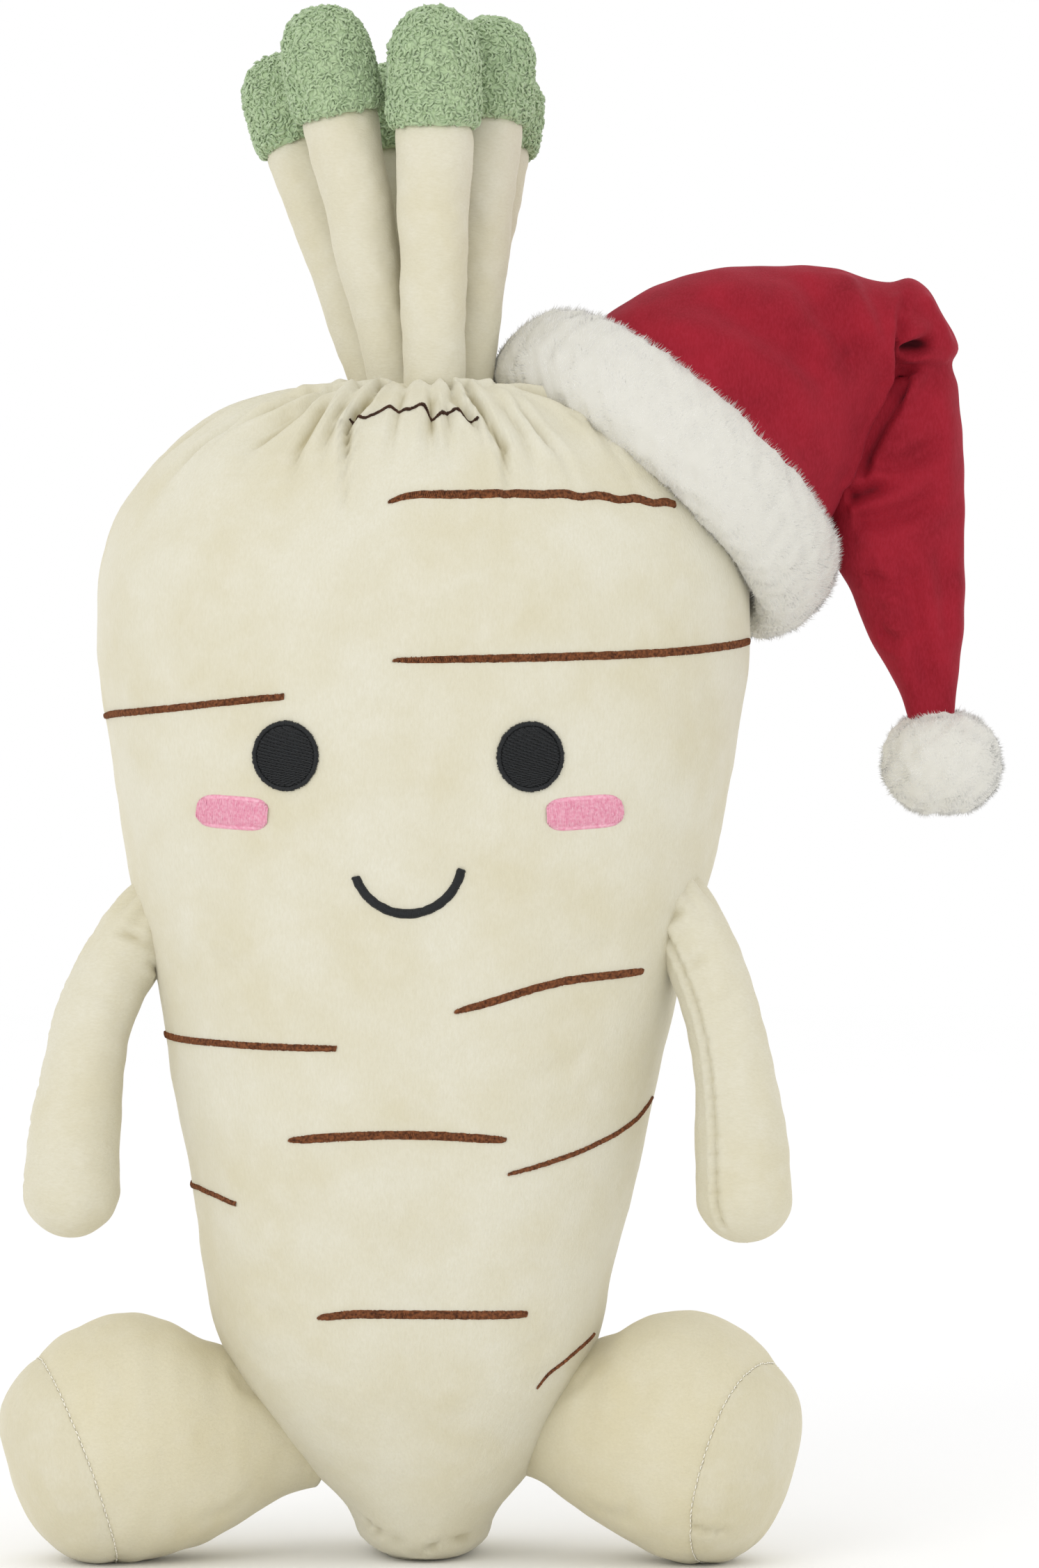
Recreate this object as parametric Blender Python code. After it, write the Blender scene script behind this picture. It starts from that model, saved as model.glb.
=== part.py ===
"""A stuffed toy parsnip that sits on a floor, with arms, legs, a stitched face and a fur-trimmed hat.

Metres, +Z up. The toy faces -Y, and its left hand in the front view is at -X. The origin is on the
floor, on the flat spot under the body that it sits on.
"""

import bisect
from math import asin, copysign, cos, pi, radians, sin, sqrt

import bmesh
import bpy
from mathutils import Vector

MM = 0.001
GAP = 0.3 * MM            # room between pieces that are sewn face to face

# The body: height, half width, half depth, shift to the side and shift back of its cross-sections, in
# mm, from the flat seat up to the gathered neck. Sections are fuller than an ellipse.
BODY_SECTIONS = (
    (0, 14.5, 30, 0, 17),
    (3, 20.5, 40, 0, 16),
    (9, 26, 47, 0, 15),
    (20, 33, 54, 0, 14),
    (37, 47, 62, -1, 12),
    (58, 61.5, 70, -4, 10),
    (80, 75.5, 77, -5.5, 8),
    (98, 83, 81, -6.5, 7),
    (120, 87.5, 84, -6.5, 6),
    (160, 95.2, 88, -4.5, 3),
    (200, 103.2, 92, -4, 1),
    (240, 110.5, 95, -2, 0),
    (300, 125.8, 99, -1, 0),
    (350, 134.8, 102, 0, 0),
    (400, 140.6, 103, 0, 0),
    (430, 138.8, 101, 0, 0),
    (450, 131, 95, 0, 0),
    (470, 115.8, 85, 0, 0),
    (484, 99.5, 75, 0, 0),
    (494, 84, 65, 0, 0),
    (499.5, 68, 55, 0, 0),
    (502, 52, 45, 0, 0),
    (503, 35, 36, 0, 0),
)
BODY_POWER = 2.3
NECK_HEIGHT = BODY_SECTIONS[-1][0] * MM
NECK_DIMPLE = 3 * MM      # how far the middle of the neck sinks
BODY_RINGS = 26
RING_SPREAD = 1.2         # rings lie closer together towards the neck
PLEATS = 16               # folds gathered into the neck
PLEAT_SIDES = 4           # points round the body for each fold
PLEAT_DEPTH = 2.2 * MM
PLEAT_TOP = 500 * MM      # the folds are full above this height
PLEAT_FOOT = 440 * MM     # and have run out below this one

# The six stems, each with the x and y of its foot, the x, y and height of its top, its foot radius and
# the length of its tip, in mm. The lean of a tip is that of its stem.
STEMS = (
    ("left", (-19, 12), (-53, 24, 610), 11.8, 44),
    ("front_left", (-11.5, -11.5), (-35.5, -22, 618), 11.3, 49),
    ("front", (5, -31.5), (5, -37, 611), 13, 53.5),
    ("right", (18.3, -7.3), (26.5, 0, 617), 11.8, 48.5),
    ("back_right", (13.5, 17.5), (29.5, 44.5, 611), 11.8, 39),
    ("back_left", (-6, 32.5), (-14.5, 51, 608), 11.8, 44),
)
STEM_TOP_RADIUS = 16.6 * MM
STEM_ROOT = 8 * MM        # length let into the neck before it is cut to the neck's shape
STEM_SIDES = 12
STEM_RINGS = (0, 0.4, 0.7, 1)    # as shares of a stem's length
STEM_FLARE = 1.3          # above 1, a stem widens more towards its top
TIP_RADIUS = 21 * MM      # over the curly pile
TIP_SHOULDER = 0.55       # where the rounded top begins, as a share of the tip's length
TIP_FULLNESS = 0.98       # the radius there, as a share of the largest
# Below its shoulder, a tip's outline as shares of its length and largest radius.
TIP_SIDE = ((0, 0.9), (0.07, 0.98), (0.3, 1.0), (TIP_SHOULDER, TIP_FULLNESS))
TIP_ROUNDING = (25, 48, 70)      # degrees round the top, where it has rings

# Arms: centre line as x, y and height, with the radius there, from the shoulder to the hand's end.
LEFT_ARM = (
    ((-98, -8, 292), 13), ((-114.5, -14, 279), 15), ((-128.5, -20, 259), 16.3), ((-138, -23, 239), 16.6),
    ((-144.5, -24, 213), 17), ((-148, -24, 188), 19.2), ((-149.2, -24, 160.5), 20.7),
)
RIGHT_ARM = (
    ((90, -26, 300), 13), ((105, -34, 284), 15.2), ((116.2, -42, 264), 16), ((123.7, -46, 246), 16.4),
    ((128.7, -48, 226), 16.2), ((132.3, -48, 207), 17.4), ((134.8, -48, 187), 19.5),
    ((136.3, -48, 159.5), 20.6),
)
ARM_SIDES = 14
ARM_RINGS = 10
HAND_ROUNDING = (28, 54, 76)     # degrees round the hand's end, where it has rings

# Legs: along the leg from the hip to the sole, the height of the centre line, the half height and the
# half width of the section, in mm. The foot is the fat end.
LEG_SECTIONS = (
    (-13, 48, 20, 24),
    (0, 50, 25, 29),
    (13, 51.5, 33, 34),
    (28, 51, 41, 40),
    (38, 50.5, 45.3, 43),
    (48, 52, 49.8, 46),
    (58, 52.5, 52.3, 47.5),
    (68, 52.5, 53.3, 48.5),
    (78, 51.5, 52.3, 48.2),
    (88, 50.5, 49, 46.5),
    (97, 50.5, 43.5, 42.5),
    (106, 52, 34, 35),
    (111, 54.5, 26, 28),
    (115.5, 58, 16, 18),
    (118, 61, 8, 9),
)
LEG_SIDES = 20
LEG_RINGS = 13
LEG_POWER = 2.15
HIP_BACK = 8 * MM         # the hips are this far behind the origin
SEAM_HEIGHT = 45 * MM     # of the middle of a sole's seam
TUCK_FULL = 30 * MM       # a leg's underside is tucked up in full as far along it as this
TUCK_END = 75 * MM        # and not at all from here
# Each leg: the side and x of its hip, how far it turns to the front, and its share of the sections'
# length and height, and how far its underside is tucked up at the hip. Then its sole's seam, a plane
# across the foot: where it meets the leg's centre line, and how far it faces to the front and the floor.
LEFT_LEG = {
    "side": -1, "hip_x": -62 * MM, "forward": radians(16), "length": 1.028, "height": 0.995, "tuck": 0,
    "seam": 88 * MM, "seam_front": radians(13), "seam_down": radians(20),
}
RIGHT_LEG = {
    "side": 1, "hip_x": 50 * MM, "forward": radians(20), "length": 0.976, "height": 1.015, "tuck": 7 * MM,
    "seam": 93 * MM, "seam_front": radians(24), "seam_down": radians(16),
}

# The hat's fur brim: a ring round the right shoulder.
BRIM_CENTRE = Vector((104, 5, 465.6)) * MM
BRIM_SIDE = Vector((0.753, 0, -0.658)).normalized()    # along the ring, down and to the right
BRIM_LEAN = radians(14)                                # how far the hat leans back
BRIM_HALF_LENGTH = 73.5 * MM
BRIM_HALF_DEPTH = 64 * MM
BRIM_HALF_THICK = 14.5 * MM
BRIM_HALF_WIDTH = 24 * MM
BRIM_POWER = 2.15
BRIM_RINGS = 28
BRIM_SIDES = 10

# The hat's cloth: sections that all hold the front-to-back direction. Each has the x and height of its
# outer edge and of its inner edge, and its half depth, in mm. The cone climbs from the brim, folds over
# at its top right and hangs down to the pompom.
HAT_SECTIONS = (
    ((68, 492), (131, 432), 40),
    ((70, 526), (163, 436), 57),
    ((83, 538), (174, 444), 58),
    ((100, 547.5), (181, 458), 54),
    ((124, 554.5), (187, 474), 47),
    ((150, 556), (192, 487), 40),
    ((178, 555), (197.5, 496.5), 34),
    ((204, 552.3), (200.5, 502), 29),
    ((218.5, 545.5), (203, 504.5), 25),
    ((228.5, 531), (204, 505), 22),
    ((230.5, 515), (203.5, 502), 20),
    ((230, 498), (200.5, 493.5), 19),
    ((232.3, 476), (192.5, 478.5), 19),
    ((234, 455), (186, 460), 19),
    ((234, 437), (181.5, 438.5), 18.5),
    ((233.8, 413), (186.7, 412), 17),
    ((232.2, 391), (195, 391), 14),
    ((230, 373), (205, 374), 10.5),
    ((228.5, 355), (211, 356), 8),
)
HAT_RINGS = 27
HAT_SIDES = 22
HAT_POWER = 2.1
HAT_BACK = 6 * MM         # the hanging end is this far back
HAT_BACK_FROM = 0.1       # and the cloth moves back between these shares of its sections
HAT_BACK_TO = 0.6

POMPOM_CENTRE = Vector((223.7, 6, 341.7)) * MM
POMPOM_RADIUS = 27 * MM
POMPOM_HALF_HEIGHT = 23 * MM

# Stitched work lies on the cloth, and its top stands this far from the cloth's smooth surface.
STITCH_PROUD = 1.5 * MM
STITCH_BASE = 0.35 * MM
PATCH_TOP = 0.93          # the size of a patch's top, as a share of its foot
PATCH_CROWN = 1.2         # how much prouder its middle is than the edge of its top
LINE_TOP = 0.6            # the width of a line's top, as a share of its foot
FACE_X = -5 * MM          # the face is this far off the middle
EYE_HALF_WIDTH = 14.2 * MM
EYE_HALF_HEIGHT = 14.8 * MM
EYE_HEIGHT = 344.5 * MM
EYE_X = 50.7 * MM
CHEEK_HALF_WIDTH = 16 * MM
CHEEK_HALF_HEIGHT = 7 * MM
CHEEK_HEIGHT = 321 * MM
CHEEK_X = 73.2 * MM
CHEEK_TILT = radians(4.5)  # each cheek's outer end is the higher one
CHEEK_POWER = 4.5          # of the super-ellipse that makes a bar with rounded ends
MOUTH_RADIUS = 22.8 * MM
MOUTH_HEIGHT = 302 * MM    # of the centre of the smile's arc
MOUTH_ARC = radians(74.5)  # to each side
MOUTH_TILT = radians(4)
MOUTH_WIDTH = 3.7 * MM
MOUTH_STEPS = 10

# The brown lines that stand for a root's rings: points as degrees round from the front and height in
# mm, then the width in mm in the middle and at each end.
LINES = {
    "line_neck": (
        ((-16.5, 486), (-13, 484), (-10, 488), (-7, 491), (-2, 489.5), (0.5, 490.5), (2.5, 486), (6, 489.5),
         (13.5, 484.5)),
        1.8, 1.0, 1.0),
    "line_brow": (((-4, 450.5), (6, 452.5), (17, 453), (34, 452.3), (51, 450.7)), 3.5, 1.2, 3.0),
    "line_right_high": (((-3, 384), (15, 385), (38, 387), (80, 392.5)), 3.4, 1.2, 2.6),
    "line_left_high": (((-84, 362), (-47, 364.5), (-21, 369)), 3.3, 2.4, 3.0),
    "line_right_mid": (((6.5, 238.5), (26.5, 249.5), (53, 254.5)), 3.3, 1.0, 2.4),
    "line_left_mid": (((-87, 226), (-42, 224), (-14.5, 223)), 3.2, 1.6, 2.6),
    "line_centre": (((-27, 184.5), (-3, 187), (20, 185)), 4.4, 1.0, 1.8),
    "line_right_low": (((21.5, 170.5), (43, 178.5), (63, 188.5), (80, 199)), 2.8, 1.2, 1.2),
    "line_left_low": (((-92, 161), (-59.5, 159.5), (-47.5, 156.5)), 2.8, 1.4, 2.4),
    "line_belly": (((-22, 109.5), (-11, 111.5), (4, 111), (33, 110.5)), 4.4, 1.0, 2.8),
    "line_right_foot": (((41.5, 80), (44, 82.5), (54.5, 89.5), (73, 98.5)), 2.0, 0.8, 1.0),
}
LINE_STEP = 9 * MM
NECK_LINE_STEP = 3 * MM   # the line that rides over the neck's folds
NECK_LINE_SUNK = -1 * MM  # and is cut to their shape
LINE_RADIUS = 110 * MM    # turns degrees into lengths, at a typical distance from the body's middle

# Finishes: colour as linear RGB, and roughness.
PLUSH = ((0.76, 0.71, 0.54), 0.95)
SOLE_PLUSH = ((0.78, 0.74, 0.58), 0.95)
GREEN_PILE = ((0.36, 0.56, 0.34), 0.98)
RED_VELOUR = ((0.42, 0.016, 0.035), 0.85)
WHITE_FUR = ((0.84, 0.83, 0.78), 1.0)
BLACK_THREAD = ((0.012, 0.014, 0.018), 0.6)
PINK_THREAD = ((0.87, 0.29, 0.42), 0.5)
BROWN_THREAD = ((0.13, 0.045, 0.025), 0.6)


def clear_scene():
    for thing in list(bpy.data.objects):
        bpy.data.objects.remove(thing)


def material(name, finish):
    colour, roughness = finish
    made = bpy.data.materials.new(name)
    made.use_nodes = True
    shader = made.node_tree.nodes["Principled BSDF"]
    shader.inputs["Base Color"].default_value = (*colour, 1)
    shader.inputs["Roughness"].default_value = roughness
    shader.inputs["Metallic"].default_value = 0
    made.diffuse_color = (*colour, 1)
    return made


def smooth_curve(points):
    """A smooth curve through points of any width, as a function of a share from 0 to 1 of its length.

    It is a Hermite spline whose slope at each point is that of the arc through its neighbours.
    """
    rows = [Vector(p) for p in points]
    places = [0.0]
    for before, after in zip(rows, rows[1:]):
        places.append(places[-1] + (after - before).length)
    steps = [b - a for a, b in zip(places, places[1:])]
    chords = [(b - a) / step for a, b, step in zip(rows, rows[1:], steps)]
    slopes = [chords[0]]
    for (left, right), (before, after) in zip(zip(chords, chords[1:]), zip(steps, steps[1:])):
        slopes.append((left * after + right * before) / (before + after))
    slopes.append(chords[-1])

    def at(share):
        place = min(max(share, 0), 1) * places[-1]
        i = min(bisect.bisect_right(places, place), len(steps)) - 1
        t = (place - places[i]) / steps[i]
        start, end = rows[i], rows[i + 1]
        return (
            start * (2 * t**3 - 3 * t**2 + 1)
            + slopes[i] * steps[i] * (t**3 - 2 * t**2 + t)
            + end * (3 * t**2 - 2 * t**3)
            + slopes[i + 1] * steps[i] * (t**3 - t**2)
        )

    return at


def smooth_step(low, high, value):
    t = min(max((value - low) / (high - low), 0), 1)
    return t * t * (3 - 2 * t)


def round_out(angle, power):
    """The unit super-ellipse's two coordinates at an angle from its second axis."""
    s, c = sin(angle), cos(angle)
    return copysign(abs(s) ** (2 / power), s), copysign(abs(c) ** (2 / power), c)


body_section = smooth_curve([[size * MM for size in row] for row in BODY_SECTIONS])


def body_share(height):
    """How far along the body's outline a height is, by halving."""
    low, high = 0.0, 1.0
    for _ in range(30):
        middle = (low + high) / 2
        if body_section(middle)[0] < height:
            low = middle
        else:
            high = middle
    return low


def body_point(share, turn):
    """A point on the body, at a share of the outline and a turn from the front, +X being a right angle."""
    height, half_width, half_depth, shift_x, shift_y = body_section(share)
    side, front = round_out(turn, BODY_POWER)
    fold = PLEAT_DEPTH * smooth_step(PLEAT_FOOT, PLEAT_TOP, height) * cos(PLEATS * turn)
    return Vector((
        shift_x + (half_width + fold) * side,
        shift_y - (half_depth + fold) * front,
        height + fold * smooth_step(PLEAT_FOOT, PLEAT_TOP, height) * 0.5,
    ))


def body_normal(share, turn):
    step = 0.004
    along = body_point(share + step, turn) - body_point(share - step, turn)
    around = body_point(share, turn + step) - body_point(share, turn - step)
    return around.cross(along).normalized()


def body_turn(x, height):
    """The turn at which the front of the body has that x, at a height."""
    _, half_width, _, shift_x, _ = body_section(body_share(height))
    reach = (x - shift_x) / half_width
    return copysign(asin(min(abs(reach) ** (BODY_POWER / 2), 1)), reach)


def new_object(name, mesh_maker, finish=None, cutter=False):
    """An object of the shape that mesh_maker puts in an empty bmesh. A cutter is only there to cut."""
    shape = bmesh.new()
    mesh_maker(shape)
    bmesh.ops.recalc_face_normals(shape, faces=shape.faces)
    mesh = bpy.data.meshes.new(name)
    shape.to_mesh(mesh)
    shape.free()
    mesh.shade_smooth()
    made = bpy.data.objects.new(name, mesh)
    bpy.context.scene.collection.objects.link(made)
    if cutter:
        made.hide_render = True
        made.display_type = "WIRE"
    else:
        mesh.materials.append(finish)
    return made


def join_two_rings(shape, ring, other):
    """A band of triangles, split the same way on a piece and on its cutter."""
    for i in range(len(ring)):
        j = (i + 1) % len(ring)
        shape.faces.new((ring[i], ring[j], other[j]))
        shape.faces.new((ring[i], other[j], other[i]))


def join_rings(shape, rings, start=None, end=None):
    """Skins a bmesh through rings of points. An end closes to its point, or flat where it has none."""
    corners = [[shape.verts.new(p) for p in ring] for ring in rings]
    count = len(corners[0])
    for ring, other in zip(corners, corners[1:]):
        join_two_rings(shape, ring, other)
    for ring, tip in ((corners[0], start), (corners[-1], end)):
        if tip is None:
            shape.faces.new(ring)
            continue
        point = shape.verts.new(tip)
        for i in range(count):
            shape.faces.new((ring[i], ring[(i + 1) % count], point))


def cut_by(piece, *cutters):
    for cutter in cutters:
        cut = piece.modifiers.new("cut_by_" + cutter.name, "BOOLEAN")
        cut.operation = "DIFFERENCE"
        cut.solver = "EXACT"
        cut.object = cutter


def body_skin(grow):
    """Makes the body's skin, grown outwards by a length."""
    sides = PLEATS * PLEAT_SIDES

    def make(shape):
        rings = []
        for i in range(BODY_RINGS + 1):
            share = 1 - (1 - i / BODY_RINGS) ** RING_SPREAD
            ring = []
            for k in range(sides):
                turn = 2 * pi * k / sides
                point = body_point(share, turn)
                ring.append(point + body_normal(share, turn) * grow if grow else point)
            rings.append(ring)
        neck = Vector((0, 0, NECK_HEIGHT - NECK_DIMPLE + grow))
        join_rings(shape, rings, end=neck)

    return make


def tube_rings(points, radii, sides):
    """Rings across a route, one at each point, with their first point held to the same side."""
    rings = []
    for i, (point, radius) in enumerate(zip(points, radii)):
        along = (points[min(i + 1, len(points) - 1)] - points[max(i - 1, 0)]).normalized()
        across = along.cross(Vector((0, 1, 0))).normalized()
        other = along.cross(across)
        rings.append([
            point + (across * cos(2 * pi * k / sides) + other * sin(2 * pi * k / sides)) * radius
            for k in range(sides)
        ])
    return rings


def make_stem(name, foot, top, foot_radius, finish, body_cutter):
    """A tapered tube from the neck up to its tip."""
    start = Vector((foot[0] * MM, foot[1] * MM, NECK_HEIGHT))
    end = Vector(top) * MM
    root = start - (end - start).normalized() * STEM_ROOT
    points = [root.lerp(end, share) for share in STEM_RINGS]
    foot_radius *= MM
    radii = [foot_radius + (STEM_TOP_RADIUS - foot_radius) * share**STEM_FLARE for share in STEM_RINGS]

    def make(shape):
        join_rings(shape, tube_rings(points, radii, STEM_SIDES))

    cut_by(new_object("stem_" + name, make, finish), body_cutter)
    return start, end


def make_tip(name, start, end, length, finish):
    """The curly green end of a stem: a thimble with a full, rounded top."""
    along = (end - start).normalized()
    base = end + along * GAP
    outline = list(TIP_SIDE)
    for angle in map(radians, TIP_ROUNDING):
        outline.append((TIP_SHOULDER + (1 - TIP_SHOULDER) * sin(angle), TIP_FULLNESS * cos(angle)))
    points = [base + along * length * share for share, _ in outline]
    radii = [TIP_RADIUS * share for _, share in outline]

    def make(shape):
        join_rings(shape, tube_rings(points, radii, STEM_SIDES), end=base + along * length)

    new_object("stem_tip_" + name, make, finish)


def make_arm(name, route, finish, body_cutter):
    curve = smooth_curve([[x * MM, y * MM, z * MM, radius * MM] for (x, y, z), radius in route])
    rows = [curve(i / ARM_RINGS) for i in range(ARM_RINGS + 1)]
    points = [Vector(row[:3]) for row in rows]
    radii = [row[3] for row in rows]
    along = (points[-1] - points[-2]).normalized()
    palm, reach = points[-1], radii[-1]
    for angle in map(radians, HAND_ROUNDING):
        points.append(palm + along * reach * sin(angle))
        radii.append(reach * cos(angle))

    def make(shape):
        join_rings(shape, tube_rings(points, radii, ARM_SIDES), end=palm + along * reach)

    cut_by(new_object(name, make, finish), body_cutter)


def leg_place(leg, reach, height, width):
    """A point at a reach along the leg, a height, and a distance in front of its centre line."""
    forward = leg["forward"]
    return Vector((
        leg["hip_x"] + leg["side"] * (reach * cos(forward) - width * sin(forward)),
        HIP_BACK - reach * sin(forward) - width * cos(forward),
        max(height, 0),
    ))


def leg_skin(leg):
    curve = smooth_curve([[size * MM for size in row] for row in LEG_SECTIONS])

    def make(shape):
        rings = []
        for i in range(LEG_RINGS + 1):
            reach, height, half_height, half_width = curve(i / LEG_RINGS)
            tuck = leg["tuck"] * (1 - smooth_step(TUCK_FULL, TUCK_END, reach)) / 2
            height += tuck
            half_height -= tuck
            ring = []
            for k in range(LEG_SIDES):
                up, across = round_out(2 * pi * k / LEG_SIDES, LEG_POWER)
                level = (height + half_height * up) * leg["height"]
                ring.append(leg_place(leg, reach * leg["length"], level, half_width * across))
            rings.append(ring)
        join_rings(shape, rings)

    return make


def make_leg(name, leg, finish, sole_finish, body_cutter):
    """The leg, and past the seam across its foot the sole, which is a panel of its own."""
    seam = leg_place(leg, leg["seam"] * leg["length"], SEAM_HEIGHT, 0)
    front, down = leg["seam_front"], leg["seam_down"]
    facing = Vector((leg["side"] * cos(front) * cos(down), -sin(front) * cos(down), -sin(down)))
    whole = leg_skin(leg)

    def part_of(keep_sole):
        def make(shape):
            whole(shape)
            bmesh.ops.bisect_plane(
                shape,
                geom=shape.verts[:] + shape.edges[:] + shape.faces[:],
                plane_co=seam + facing * (GAP / 2 if keep_sole else -GAP / 2),
                plane_no=facing,
                clear_inner=keep_sole,
                clear_outer=not keep_sole,
            )
            rim = [edge for edge in shape.edges if edge.is_boundary]
            bmesh.ops.edgeloop_fill(shape, edges=rim)

        return make

    cut_by(new_object("leg_" + name, part_of(False), finish), body_cutter)
    new_object("sole_" + name, part_of(True), sole_finish)


def brim_skin(grow):
    """Makes the ring of fur, grown all round by a length."""
    out = Vector((
        -BRIM_SIDE.z * cos(BRIM_LEAN), sin(BRIM_LEAN), BRIM_SIDE.x * cos(BRIM_LEAN))).normalized()
    near = BRIM_SIDE.cross(out)

    def make(shape):
        rings = []
        for i in range(BRIM_RINGS):
            angle = 2 * pi * i / BRIM_RINGS
            away = BRIM_SIDE * cos(angle) + near * sin(angle)
            centre = BRIM_CENTRE
            centre = centre + BRIM_SIDE * BRIM_HALF_LENGTH * cos(angle) + near * BRIM_HALF_DEPTH * sin(angle)
            ring = []
            for k in range(BRIM_SIDES):
                up, across = round_out(2 * pi * k / BRIM_SIDES, BRIM_POWER)
                ring.append(shape.verts.new(
                    centre + away * (BRIM_HALF_THICK + grow) * across + out * (BRIM_HALF_WIDTH + grow) * up))
            rings.append(ring)
        for i in range(BRIM_RINGS):
            join_two_rings(shape, rings[i], rings[(i + 1) % BRIM_RINGS])

    return make


def hat_skin(grow):
    """Makes the hat's cloth as one closed body, grown all round by a length."""
    curve = smooth_curve([
        [outer[0] * MM, outer[1] * MM, inner[0] * MM, inner[1] * MM, depth * MM]
        for outer, inner, depth in HAT_SECTIONS
    ])

    def make(shape):
        rings = []
        for i in range(HAT_RINGS + 1):
            share = i / HAT_RINGS
            outer_x, outer_z, inner_x, inner_z, depth = curve(share)
            outer, inner = Vector((outer_x, 0, outer_z)), Vector((inner_x, 0, inner_z))
            middle = (outer + inner) / 2
            middle.y = HAT_BACK * smooth_step(HAT_BACK_FROM, HAT_BACK_TO, share)
            reach = (outer - inner) / 2
            reach += reach.normalized() * grow
            ring = []
            for k in range(HAT_SIDES):
                across, front = round_out(2 * pi * k / HAT_SIDES, HAT_POWER)
                ring.append(middle + reach * across - Vector((0, depth + grow, 0)) * front)
            rings.append(ring)
        join_rings(shape, rings)

    return make


def pompom_skin(shape):
    bmesh.ops.create_uvsphere(shape, u_segments=16, v_segments=10, radius=1)
    for corner in shape.verts:
        x, y, z = corner.co
        corner.co = POMPOM_CENTRE + Vector((
            x * POMPOM_RADIUS, y * POMPOM_RADIUS, z * POMPOM_HALF_HEIGHT))


def make_patch(name, outline, finish):
    """A stitched patch on the body's front, from its outline as x and height, a little crowned."""
    centre = sum((Vector(p) for p in outline), Vector((0, 0))) / len(outline)

    def on_body(spot, proud):
        share, turn = body_share(spot[1]), body_turn(spot[0], spot[1])
        return body_point(share, turn) + body_normal(share, turn) * proud

    def ring(size, proud):
        return [on_body(centre + (Vector(p) - centre) * size, proud) for p in outline]

    def make(shape):
        join_rings(
            shape,
            [ring(0.5, STITCH_BASE), ring(1, STITCH_BASE), ring(PATCH_TOP, STITCH_PROUD)],
            start=on_body(centre, STITCH_BASE),
            end=on_body(centre, STITCH_PROUD * PATCH_CROWN),
        )

    new_object(name, make, finish)


def make_line(name, route, widths, finish, base=STITCH_BASE):
    """A stitched line on the body, along places given as share of the outline and turn."""
    frames = []
    spots = [body_point(*place) for place in route]
    for i, place in enumerate(route):
        along = (spots[min(i + 1, len(spots) - 1)] - spots[max(i - 1, 0)]).normalized()
        normal = body_normal(*place)
        frames.append((spots[i], normal, normal.cross(along).normalized()))

    def make(shape):
        rings = []
        for (spot, normal, side), width in zip(frames, widths):
            half = side * width / 2
            rings.append([
                spot - half + normal * base, spot - half * LINE_TOP + normal * STITCH_PROUD,
                spot + half * LINE_TOP + normal * STITCH_PROUD, spot + half + normal * base,
            ])
        join_rings(shape, rings)

    return new_object(name, make, finish)


def ring_line(points, middle_width, first_width, last_width, step):
    """The places and widths along one of the brown lines."""
    flat = [Vector((radians(turn) * LINE_RADIUS, height * MM)) for turn, height in points]
    curve = smooth_curve(flat)
    length = sum((b - a).length for a, b in zip(flat, flat[1:]))
    count = max(int(length / step), 5)
    route, widths = [], []
    for i in range(count + 1):
        share = i / count
        arc, height = curve(share)
        route.append((body_share(height), arc / LINE_RADIUS))
        end_width = first_width if share < 0.5 else last_width
        swell = sqrt(1 - abs(2 * share - 1) ** 3)
        widths.append((end_width + (middle_width - end_width) * swell) * MM)
    return route, widths


def rounded_patch(x, height, half_width, half_height, tilt, power, count=20):
    """The outline of a patch: a super-ellipse, from a circle to a rounded bar, tilted about its middle."""
    outline = []
    for k in range(count):
        across, up = round_out(2 * pi * k / count, power)
        a, b = across * half_width, up * half_height
        outline.append((x + a * cos(tilt) - b * sin(tilt), height + a * sin(tilt) + b * cos(tilt)))
    return outline


def make_face(black, pink):
    for name, side in (("left", -1), ("right", 1)):
        make_patch(
            "eye_" + name,
            rounded_patch(FACE_X + side * EYE_X, EYE_HEIGHT, EYE_HALF_WIDTH, EYE_HALF_HEIGHT, 0, 2),
            black)
        make_patch(
            "cheek_" + name,
            rounded_patch(
                FACE_X + side * CHEEK_X, CHEEK_HEIGHT, CHEEK_HALF_WIDTH, CHEEK_HALF_HEIGHT,
                side * CHEEK_TILT, CHEEK_POWER),
            pink)
    route = []
    for i in range(MOUTH_STEPS + 1):
        angle = MOUTH_TILT + MOUTH_ARC * (2 * i / MOUTH_STEPS - 1)
        x, height = FACE_X + MOUTH_RADIUS * sin(angle), MOUTH_HEIGHT - MOUTH_RADIUS * cos(angle)
        route.append((body_share(height), body_turn(x, height)))
    make_line("mouth", route, [MOUTH_WIDTH] * len(route), black)


def make_root_lines(brown, body_cutter):
    for name, (points, middle_width, first_width, last_width) in LINES.items():
        if name == "line_neck":
            route, widths = ring_line(points, middle_width, first_width, last_width, NECK_LINE_STEP)
            cut_by(make_line(name, route, widths, brown, NECK_LINE_SUNK), body_cutter)
        else:
            route, widths = ring_line(points, middle_width, first_width, last_width, LINE_STEP)
            make_line(name, route, widths, brown)


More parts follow.
